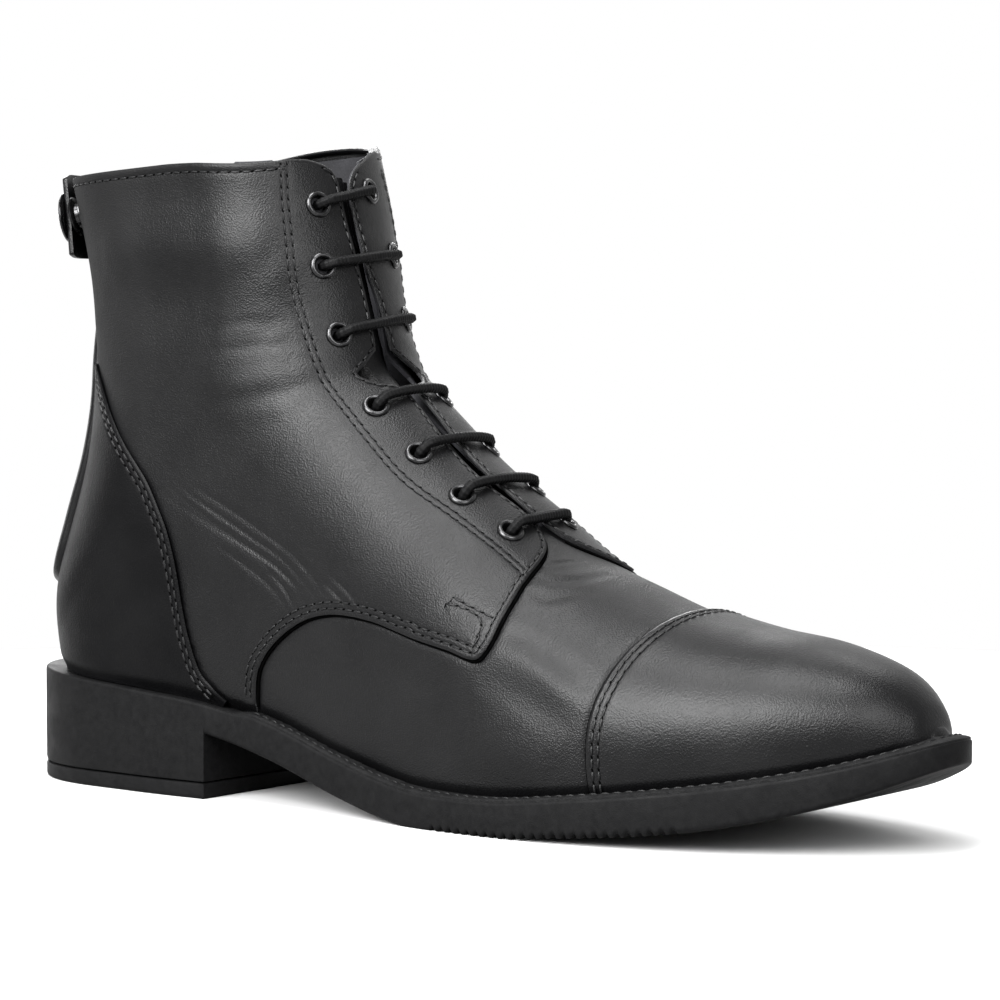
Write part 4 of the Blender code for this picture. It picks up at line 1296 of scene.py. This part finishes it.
def build_tongue():
    """Tongue under the facings: raised along the middle, where it shows, and low under the eyelets."""
    s = np.linspace(TONGUE_START, LAST_SECTION - TONGUE_SHORT, 90)
    shares = np.linspace(-1.0, 1.0, 29)
    middle_y = np.interp(s, column(TONGUE_MIDDLE, "s"), column(TONGUE_MIDDLE, "y"))
    centre = 1.0 - smoothstep((np.abs(shares) - TONGUE_CROWN_FLAT) / TONGUE_CROWN_SLOPE)
    places, heights = [], []
    for number, y in zip(s, middle_y):
        at = np.full(len(shares), number)
        places.append(pairs(at, q_at_y(at, y + TONGUE_HALF_WIDTH * shares)))
        sunk = WALL + GAP + TONGUE_SINK_RATE * max(number - TONGUE_SINK_FROM, 0.0)
        sunk = min(sunk, TONGUE_DEPTH)
        crown = centre * smoothstep((number - TONGUE_CROWN_FROM) / TONGUE_CROWN_RUN)
        heights.append(-sunk + (sunk - TONGUE_CROWN) * crown)
    sheet = raised(np.concatenate(places), np.concatenate(heights))
    sheet = solid(sheet, grid_faces(len(s), len(shares), flip=True), TONGUE_THICKNESS)
    add_piece("tongue_leather", *sheet, LEATHER, "lining", ["tongue"])


# Back closure


def back_depth(y):
    """How far forward of the centre back line the shaft lies at a distance y from it."""
    share = np.minimum(np.abs(y) / SHAFT_SECTIONS[-1].outer, 1.0)
    return BACK_ROUND * (1.0 - (1.0 - share ** BACK_POWER) ** (1.0 / BACK_POWER))


def at_back(y, z, height):
    """Points at a height above the back of the shaft, and the outward directions there."""
    step = 0.5
    beside_slope = (back_depth(y + step) - back_depth(y - step)) / (2.0 * step)
    up_slope = (back_x(z + step) - back_x(z - step)) / (2.0 * step)
    normals = unit(np.stack([-np.ones_like(y), beside_slope, up_slope], axis=-1))
    points = np.stack([back_x(z) + back_depth(y), y, z], axis=-1)
    return points + normals * np.asarray(height)[..., None], normals


def cushion(name, y, z, low, high, replaced):
    """Closed body over a grid of the shaft's back, between two heights that meet at its edge."""
    sheets = [at_back(y.ravel(), z.ravel(), height.ravel())[0] for height in (high, low)]
    parts = [(sheet, grid_faces(*y.shape, flip=flip)) for sheet, flip in zip(sheets, (False, True))]
    add_piece(name, *welded(*merged(parts)), CAP_LEATHER, "leather", replaced, sharp=60.0)


def build_zip_strip():
    """Leather strip over the zip, rounded at its lower end, with a row of stitches along each side."""
    end_z, top_z = ZIP_STRIP[0].z - STRIP_PAST_END, ZIP_STRIP[-1].z
    round_end = end_z + STRIP_ROUND * (1.0 - np.cos(np.linspace(0.0, 0.5 * math.pi, 16)))
    z = np.concatenate([round_end, np.linspace(end_z + STRIP_ROUND, top_z, 60)[1:]])
    half = curve(ZIP_STRIP, "half_width", np.maximum(z, ZIP_STRIP[1].z))
    half = half * rounding(z - end_z, STRIP_ROUND, STRIP_POWER)
    shares = np.sin(np.linspace(-0.5 * math.pi, 0.5 * math.pi, 41))
    y = half[:, None] * shares
    level = np.repeat(z[:, None], len(shares), axis=1)
    side_depth = half[:, None] * (1.0 - np.abs(shares))
    edge = rounding(side_depth, STRIP_SIDE_EDGE, 2.0) * rounding(level - end_z, STRIP_END_EDGE, 2.0)
    low = np.full_like(y, STRIP_START)
    cushion("zip_strip_leather", y, level, low, low + STRIP_THICKNESS * edge, ["zip_strip"])
    line_z = np.linspace(STRIP_ROW_LOW_Z, STRIP_ROW_HIGH_Z, 160)
    line_y = np.interp(line_z, z, half) - STRIP_ROW
    thread_height = STRIP_START + STRIP_THICKNESS - STRIP_SINK
    rows = [at_back(side * line_y, line_z, thread_height) for side in (-1.0, 1.0)]
    build_stitches("zip_strip_stitches", rows, THREAD, "leather")


def tab_underside(y, z):
    """Height of the snap tab's underside above the shaft, and how much the tab leans there."""
    stand_off = curve(SNAP_TAB, "stand_off", y)
    lean = TAB_TILT * (stand_off - SNAP_TAB[-1].stand_off) / (TAB_HIGH_Z - TAB_LOW_Z)
    return stand_off - lean * (z - TAB_LOW_Z), lean


def build_snap():
    """Snap tab that stands off at its free end, with the cap outside it and the stud under it."""
    spread_out = np.sin(0.5 * math.pi * np.linspace(-1.0, 1.0, 61))
    y = (0.5 * (TAB_START + TAB_END) + 0.5 * (TAB_END - TAB_START) * spread_out)[:, None]
    middle_z, half_z = 0.5 * (TAB_LOW_Z + TAB_HIGH_Z), 0.5 * (TAB_HIGH_Z - TAB_LOW_Z)
    half = half_z * (1.0 - TAB_NARROW + TAB_NARROW * rounding(y - TAB_START, TAB_ROUND, 2.0))
    z = middle_z + half * np.sin(0.5 * math.pi * np.linspace(-1.0, 1.0, 33))
    y = np.repeat(y, z.shape[1], axis=1)
    low, _ = tab_underside(y, z)
    edge = rounding(half - np.abs(z - middle_z), TAB_EDGE, 2.0) * rounding(y - TAB_START, TAB_EDGE, 2.0)
    edge = edge * rounding(TAB_END - y, TAB_END_EDGE, 2.0)
    cushion("snap_tab_leather", y, z, low, low + TAB_THICKNESS * edge, ["snap_tab"])
    at_y, at_z = np.array([SNAP_Y]), np.array([SNAP_Z])
    low, lean = tab_underside(at_y, at_z)
    seat, normal = at_back(at_y, at_z, low + TAB_THICKNESS + SNAP_SEAT)
    normal = normal[0]
    axis = unit(normal + lean * unit(np.array([0.0, 0.0, 1.0]) - normal * normal[2]))
    rim = SNAP_RADIUS
    cap = [
        (0.01, 1.55), (2.5, 1.5), (4.6, 1.3), (5.3, 1.05), (5.7, 1.15), (6.6, 1.2), (7.1, 1.0), (rim, 0.6),
        (rim, 0.3), (rim - 0.3, 0.05), (5.0, 0.0), (0.01, 0.0),
    ]
    turned("snap_cap_metal", cap, seat[0], axis, 40, ["snap_cap"])
    under, _ = at_back(at_y, at_z, LAP + STUD_SEAT)
    top = low[0] - LAP - STUD_CLEARANCE
    stud = [
        (0.01, top), (5.3, top), (5.7, top - 0.2), (5.8, top - 0.6), (5.4, top - 1.0), (3.6, top - 1.2),
        (3.4, 1.0), (4.6, 0.7), (5.2, 0.3), (5.2, 0.0), (0.01, 0.0),
    ]
    turned("snap_stud_metal", stud, under[0], normal, 32, ["snap_stud"])


def turned(name, profile, seat, axis, sides, replaced, closed=False):
    """Round piece from a profile of radius and height, spun about an axis that stands on its seat."""
    first = unit(np.cross(axis, [0.0, 1.0, 0.3]))
    ring = circle(sides, first, np.cross(axis, first))
    loops = [seat + axis * height + ring * radius for radius, height in profile]
    if closed:
        loops.append(loops[0])
        points, faces = welded(np.concatenate(loops), grid_faces(len(loops), sides, wrap=True))
    else:
        points, faces = sweep_solid(loops)
    add_piece(name, points, [face[::-1] for face in faces], METAL, "metal", replaced, sharp=50.0)


def build_eyelets():
    hole, rim, foot = EYELET_HOLE, EYELET_FLANGE, -WALL - 1.0
    profile = [
        (hole, foot), (hole, 0.2), (hole + 0.12, 0.55), (hole + 0.4, 0.82), (hole + 0.75, 0.88),
        (hole + 1.1, 0.75), (rim - 0.12, 0.4), (rim, 0.05), (rim - 0.1, -0.12), (hole + 0.5, -0.15),
        (hole + 0.45, foot),
    ]
    for side, label in ((-1, "outer"), (1, "inner")):
        places = eyelet_places(side)
        for number, (seat, axis) in enumerate(zip(raised(places, LAP), outward(places)), start=1):
            replaced = [f"eyelet_{label}_{number}"]
            turned(f"ring_{label}_{number}", profile, seat, axis, 32, replaced, closed=True)


# Lace


def ridge_point(point, direction):
    """Where a line from inside the boot, in the middle plane, meets the ridge."""
    def within(reach):
        probe = point + direction * reach
        return locate(probe[:1], probe[2:])[1] > 0.0

    return point + direction * halved(np.zeros(1), np.full(1, 30.0), within, 30)


def lace_route():
    """Bars across the front from the lowest row up, joined behind the facings on alternate sides."""
    places = {side: eyelet_places(side) for side in (-1, 1)}
    seats = {side: raised(places[side], LAP) for side in (-1, 1)}
    axes = {side: outward(places[side]) for side in (-1, 1)}
    above = LACE_RADIUS + BAR_START
    below = -WALL - LAP - LACE_RADIUS - GAP
    # Distances along an eyelet's axis and towards the other eyelet
    turn_in = [(below, 0.0), (-1.2, 0.4), (0.6, 0.9), (above, 3.2)]
    route = []
    side = -1
    for number in range(len(EYELETS) - 1, -1, -1):
        point_a, normal_a = seats[side][number], axes[side][number]
        point_b, normal_b = seats[-side][number], axes[-side][number]
        across = unit(point_b - point_a)
        lean_a = unit(across - normal_a * across.dot(normal_a))
        lean_b = unit(across - normal_b * across.dot(normal_b))
        middle = 0.5 * (point_a + point_b)
        crown = unit(normal_a + normal_b)
        lift = (ridge_point(middle, crown) - middle).dot(crown) + LAP + LACE_RADIUS + BAR_CLEARANCE
        route += [point_a + normal_a * up + lean_a * ahead for up, ahead in turn_in]
        bar = (-BAR_HALF_CROWN, BAR_HALF_CROWN)
        route += [middle + across * ahead + crown * lift * BAR_CROWN for ahead in bar]
        route += [point_b + normal_b * up - lean_b * ahead for up, ahead in turn_in[::-1]]
        if number > 0:
            start, end = places[-side][number], places[-side][number - 1]
            between = np.stack([start + (end - start) * share for share in (0.25, 0.5, 0.75)])
            route += list(raised(between, LAP + below - LACE_BEHIND * GAP))
        side = -side
    return np.array(route)


def build_lace():
    """Round braided cord: bumps where the strands of the braid cross."""
    route = lace_route()
    along = lengths_along(route)
    at = np.arange(0.0, along[-1], LACE_STEP)
    line = read_smooth(at, along, route)
    ahead = tangents(line)
    up = unit(np.cross(ahead[0], [0.3, 0.2, 1.0]))
    strands = BRAID_STRANDS * np.linspace(0.0, 2.0 * math.pi, LACE_SIDES, endpoint=False)
    loops = []
    for k in range(len(line)):
        up = unit(up - ahead[k] * up.dot(ahead[k]))
        weave = np.cos(strands + BRAID_TWIST * at[k]) * np.cos(strands - BRAID_TWIST * at[k])
        radius = LACE_RADIUS * (BRAID_GROUND + BRAID_BUMP * weave)
        loops.append(line[k] + radius[:, None] * circle(LACE_SIDES, up, np.cross(ahead[k], up)))
    add_piece("braided_lace", *sweep_solid(loops), CORD, "cord", ["lace"], sharp=70.0)


# Sole


def sole_half_width(x, side):
    width = curve(SOLE_WIDTHS, side, x)
    return width * rounding(x, HEEL_ROUND, BACK_POWER) * rounding(SOLE_LENGTH - x, TOE_ROUND, 2.0)


def sole_under(x):
    """Underside of the sole in front of the heel, with its arch and toe spring."""
    return np.maximum(feather_z(x) - GAP - curve(SOLE_THICKNESS, "thick", x), 0.0)


def welt_share(x):
    """How far the welt has risen behind its tapered start."""
    return smoothstep((x - WELT_START) / WELT_TAPER)


def sole_top(x):
    """Top of the sole's edge, which rises a little round the leather to carry the welt."""
    return feather_z(x) - GAP + (GAP + SOLE_RISE) * welt_share(x)


def ribs(x):
    """Depth of the cross grooves in the tread."""
    inside_tread = smoothstep((x - RIB_START) / RIB_FADE) * smoothstep((RIB_END - x) / RIB_FADE)
    wave = 0.5 + 0.5 * np.cos(2.0 * math.pi * (x - RIB_START) / RIB_PITCH)
    return RIB_DEPTH * inside_tread * smoothstep(1.6 * wave - 0.5)


def sole_stations(end):
    """Places along the sole from its back edge, close together at rounded ends and on the ribbed tread."""
    closing = (1.0 - np.cos(np.linspace(0.0, 0.5 * math.pi, 40)))[:-1] ** 1.3
    ends = [HEEL_ROUND * closing]
    if end == SOLE_LENGTH:
        ends.append(SOLE_LENGTH - TOE_ROUND * closing[::-1])
        end = SOLE_LENGTH - TOE_ROUND
    middle = np.linspace(HEEL_ROUND, end, max(int((end - HEEL_ROUND) / 0.5), 2))
    return np.unique(np.concatenate([*ends, middle]))


def plan_edges(stations):
    """Outer and inner edge of the sole's plan, and the outward directions along each."""
    outer = pairs(stations, -sole_half_width(stations, "outer"))
    inner = pairs(stations, sole_half_width(stations, "inner"))
    along = tangents(np.concatenate([outer, inner[::-1]]))
    out = pairs(along[:, 1], -along[:, 0])
    count = len(stations)
    return (outer, out[:count]), (inner, out[count:][::-1])


Wall = namedtuple("Wall", "share inset")


def strip_faces(first, second, flip):
    """Quads between two index rows."""
    quads = [[a, b, d, c] for a, b, c, d in zip(first[:-1], first[1:], second[:-1], second[1:])]
    return [quad[::-1] for quad in quads] if flip else quads


def build_slab(name, x, low, high, profile, replaced):
    """Closed slab of the sole's plan between two height curves, with a profiled side."""
    edges = plan_edges(x)
    points, faces, index = [], [], []
    for level in profile:
        z = low + (high - low) * level.share
        for edge, normals in edges:
            start = sum(len(block) for block in points)
            points.append(np.column_stack([edge - normals * level.inset, z]))
            index.append(list(range(start, start + len(x))))
    sides = list(zip(index[0::2], index[1::2]))
    for (outer_low, inner_low), (outer_high, inner_high) in zip(sides, sides[1:]):
        faces += strip_faces(outer_low, outer_high, False)
        faces += strip_faces(inner_low, inner_high, True)
        faces.append([outer_low[0], outer_high[0], inner_high[0], inner_low[0]])
        faces.append([outer_low[-1], inner_low[-1], inner_high[-1], outer_high[-1]])
    faces += strip_faces(*sides[0], True)
    faces += strip_faces(*sides[-1], False)
    points, faces = welded(np.concatenate(points), np.array(faces))
    add_piece(name, points, faces, RUBBER, "rubber", replaced, sharp=35.0)


EDGE_PROFILE = table(
    Wall,
    (0.0, 1.0), (0.03, 0.45), (0.09, 0.1), (0.16, 0.0), (0.5, 0.0), (0.9, 0.0), (0.955, 0.1),
    (0.985, 0.35), (1.0, 0.8),
)
LIFT_PROFILE = table(
    Wall,
    (0.0, 0.9), (0.06, 0.35), (0.16, 0.05), (0.3, 0.0), (0.85, 0.0), (0.96, 0.15), (1.0, 0.5),
)
HEEL_PROFILE = table(Wall, (0.0, 0.5), (0.01, 0.15), (0.04, 0.0), (0.5, -0.03), (1.0, -0.03))


def build_sole():
    """Sole with its ribbed tread, the heel block under it and the lift under the heel."""
    x = sole_stations(SOLE_LENGTH)
    under_heel = feather_z(x) - GAP - HEEL_SOLE
    low = np.where(x < HEEL_BREAST, under_heel, sole_under(np.maximum(x, HEEL_BREAST))) + ribs(x)
    build_slab("sole_rubber", x, low, sole_top(x), EDGE_PROFILE, ["outsole"])
    x = sole_stations(HEEL_BREAST)
    lift_top = np.full_like(x, LIFT_THICKNESS)
    heel_top = feather_z(x) - GAP - HEEL_SEAM
    build_slab("heel_block", x, lift_top + LIFT_SEAM, heel_top, HEEL_PROFILE, ["outsole"])
    build_slab("heel_lift_rubber", x, np.zeros_like(x), lift_top, LIFT_PROFILE, ["heel_lift"])


# Section of the welt: share of its width from the outer edge, and share of its height
WeltPoint = namedtuple("WeltPoint", "share level")
WELT_PROFILE = table(
    WeltPoint,
    (0.0, 0.0), (0.0, 0.55), (0.1, 0.85), (0.28, 1.0), (0.6, 0.92), (1.0, 1.0), (1.0, 0.0),
)


def build_welt():
    """Stitched strip on the sole's edge, from the heel breast round the toe."""
    stations = sole_stations(SOLE_LENGTH)
    keep = stations > WELT_START
    outer, inner = plan_edges(stations)
    ring, out = (np.concatenate([a[keep], b[keep][::-1]]) for a, b in zip(outer, inner))
    along = lengths_along(ring)
    at = np.linspace(0.0, along[-1], int(along[-1] / LINE_STEP))
    ring, out = read_line(at, along, ring), unit(read_line(at, along, out))
    feather = feather_outline()
    tree = tree_of(np.column_stack([feather[:, :2], np.zeros(len(feather))]))
    inner_edge = np.array([feather[tree.find((*point, 0.0))[1]][:2] for point in ring - out * 4.0])
    risen = welt_share(ring[:, 0])
    base = sole_top(ring[:, 0]) - 0.25
    top = feather_z(ring[:, 0]) - GAP + (GAP + WELT_HEIGHT) * risen
    edge = ring - out * WELT_INSET
    share, level = column(WELT_PROFILE, "share")[:, None], column(WELT_PROFILE, "level")
    loops = []
    for k in range(len(ring)):
        place = edge[k] + (inner_edge[k] - edge[k]) * share
        loops.append(np.column_stack([place, base[k] + (top[k] - base[k]) * level]))
    points, faces = sweep_solid(loops)
    add_piece("welt_strip", points, [face[::-1] for face in faces], WELT, "welt_leather", ["welt"])
    row = np.column_stack([edge + (inner_edge - edge) * WELT_ROW, top - 0.13])[risen > 0.9]
    up = np.repeat([[0.0, 0.0, 1.0]], len(row), axis=0)
    build_stitches("welt_stitches", [(row, up)], WELT_THREAD, "welt_leather")


def build_insole():
    """Insole inside the boot, a little dished."""
    s = np.linspace(0.3, HEEL_CORNER - 0.05, 120)
    shares = np.linspace(-1.0, 1.0, 31)
    rows = []
    for a, b in zip(skin(pairs(s, -1.0)), skin(pairs(s, 1.0))):
        middle, half = 0.5 * (a + b), 0.5 * (b - a)
        reach = max(1.0 - INSOLE_INSET / max(abs(half[1]), INSOLE_INSET + 0.1), 0.05)
        row = middle + shares[:, None] * half * reach
        row[:, 2] = feather_z(row[:, 0]) + INSOLE_RISE + INSOLE_DISH * shares ** 2
        rows.append(row)
    faces = grid_faces(len(s), len(shares), flip=True)
    sheet = solid(np.concatenate(rows), faces, INSOLE_THICKNESS)
    add_piece("insole_leather", *sheet, LINING, "lining", ["insole"])


# Stitching


def build_seams():
    """Threads of every row, painted shade in their needle holes and painted shadow beside the cut edges."""
    for side, label in ((-1, "outer"), (1, "inner")):
        edge = tree_of(skin(quarter_outline(side)))
        rows = []
        for line in quarter_rows(side):
            points = skin(line)
            creased = quarter_creases(side, points, distances(edge, points))
            rows.append(surface_row(line, LAP - THREAD_SINK + creased))
        rows += [surface_row(line, COUNTER_TOP - THREAD_SINK) for line in counter_rows(side)]
        build_stitches(f"seam_stitches_{label}", rows, THREAD, "leather")
        # Black lenses painted as the shade in the needle holes
        build_hole_shade(f"needle_holes_{label}", rows)
        lower = np.concatenate([facing_edge(side)[-30:], derby_line(side)[1:]])
        lower = lower[np.abs(lower[:, 1]) < 0.98]
        # Black tube beside the quarter's cut edge: painted shadow in the corner
        build_seam_shadow(f"seam_shadow_{label}", beside(lower, -SHADOW_TUBE_OFFSET * side))
    # Black tube beside the toe cap's cut edge: painted shadow in the corner
    build_seam_shadow("toe_cap_shadow", beside(cap_line(0.98, 300), SHADOW_TUBE_OFFSET))
    rows = [surface_row(line, CAP_TOP - THREAD_SINK) for line in cap_rows()]
    build_stitches("toe_cap_stitches", rows, THREAD, "leather")
    # Black lenses painted as the shade in the toe cap's needle holes
    build_hole_shade("toe_cap_holes", rows)


# Stage


FLOOR_RADIUS = 0.5


def build_stage():
    """Pale round floor under a white sky."""
    angles = np.linspace(0.0, 2.0 * math.pi, 96, endpoint=False)
    points = [(FLOOR_RADIUS * math.cos(a), FLOOR_RADIUS * math.sin(a), 0.0) for a in angles]
    mesh = bpy.data.meshes.new("floor")
    mesh.from_pydata(points, [], [list(range(len(points)))])
    material, shader = new_material("pale_floor", (0.24, 0.24, 0.24), 0.8)
    place = object_place(material)
    link(material, spread(material, noise(material, place, 8.0), 0.75, 0.85), shader.inputs["Roughness"])
    mesh.materials.append(material)
    floor = bpy.data.objects.new("floor", mesh)
    bpy.context.scene.collection.objects.link(floor)


# Soft lights round the boot: direction seen from the boot in degrees, distance and width in metres
Light = namedtuple("Light", "name azimuth elevation distance width radiance")
LIGHTS = [
    Light("front", -2, 33, 1.35, 0.95, 51.0),
    Light("top", -4, 79, 1.35, 0.85, 27.0),
    Light("behind", -168, 50, 1.5, 0.7, 4.5),
    Light("inner", -135, 16, 1.4, 0.75, 9.0),
    Light("low", -26, 4, 1.3, 0.4, 12.0),
    Light("left", -97, 4, 1.3, 0.5, 3.2),
    Light("toe", 60, 28, 1.0, 0.7, 16.0),
]


def build_lights():
    aim = Vector((0.0, 0.0, 0.08))
    for row in LIGHTS:
        lamp = bpy.data.lights.new(row.name, "AREA")
        lamp.shape = "DISK"
        lamp.size = row.width
        lamp.energy = row.radiance * math.pi * math.pi * (0.5 * row.width) ** 2
        thing = bpy.data.objects.new(row.name, lamp)
        turn, rise = math.radians(row.azimuth), math.radians(row.elevation)
        away = Vector((math.sin(turn) * math.cos(rise), -math.cos(turn) * math.cos(rise), math.sin(rise)))
        thing.location = aim + away * row.distance
        thing.rotation_euler = (-away).to_track_quat("-Z", "Y").to_euler()
        bpy.context.scene.collection.objects.link(thing)
    world = bpy.data.worlds.new("studio")
    world.use_nodes = True
    background = world.node_tree.nodes["Background"]
    background.inputs["Color"].default_value = (1.0, 1.0, 1.0, 1.0)
    background.inputs["Strength"].default_value = 1.0
    bpy.context.scene.world = world
    bpy.context.scene.view_settings.view_transform = "Standard"


CAMERA_PLACE = Vector((0.5423, -0.7319, 0.1275))
CAMERA_AIM = Vector((0.0129, -0.0014, 0.0884))


def build_camera():
    camera = bpy.data.cameras.new("camera")
    camera.lens = 119.8
    camera.sensor_width = 36.0
    camera.sensor_fit = "HORIZONTAL"
    camera.shift_x = -0.0137
    camera.shift_y = -0.0140
    thing = bpy.data.objects.new("camera", camera)
    thing.location = CAMERA_PLACE
    thing.rotation_euler = (CAMERA_AIM - CAMERA_PLACE).to_track_quat("-Z", "Y").to_euler()
    bpy.context.scene.collection.objects.link(thing)
    bpy.context.scene.camera = thing


def main():
    build_camera()
    build_lace()
    build_sole()
    build_welt()
    build_insole()
    build_lining()
    build_vamp()
    build_quarter("quarter_outer", -1)
    build_quarter("quarter_inner", 1)
    build_toe_cap()
    build_counter()
    build_collar_edge()
    build_tongue()
    build_zip_strip()
    build_snap()
    build_eyelets()
    build_seams()
    build_stage()
    build_lights()
    bpy.context.view_layer.update()


main()
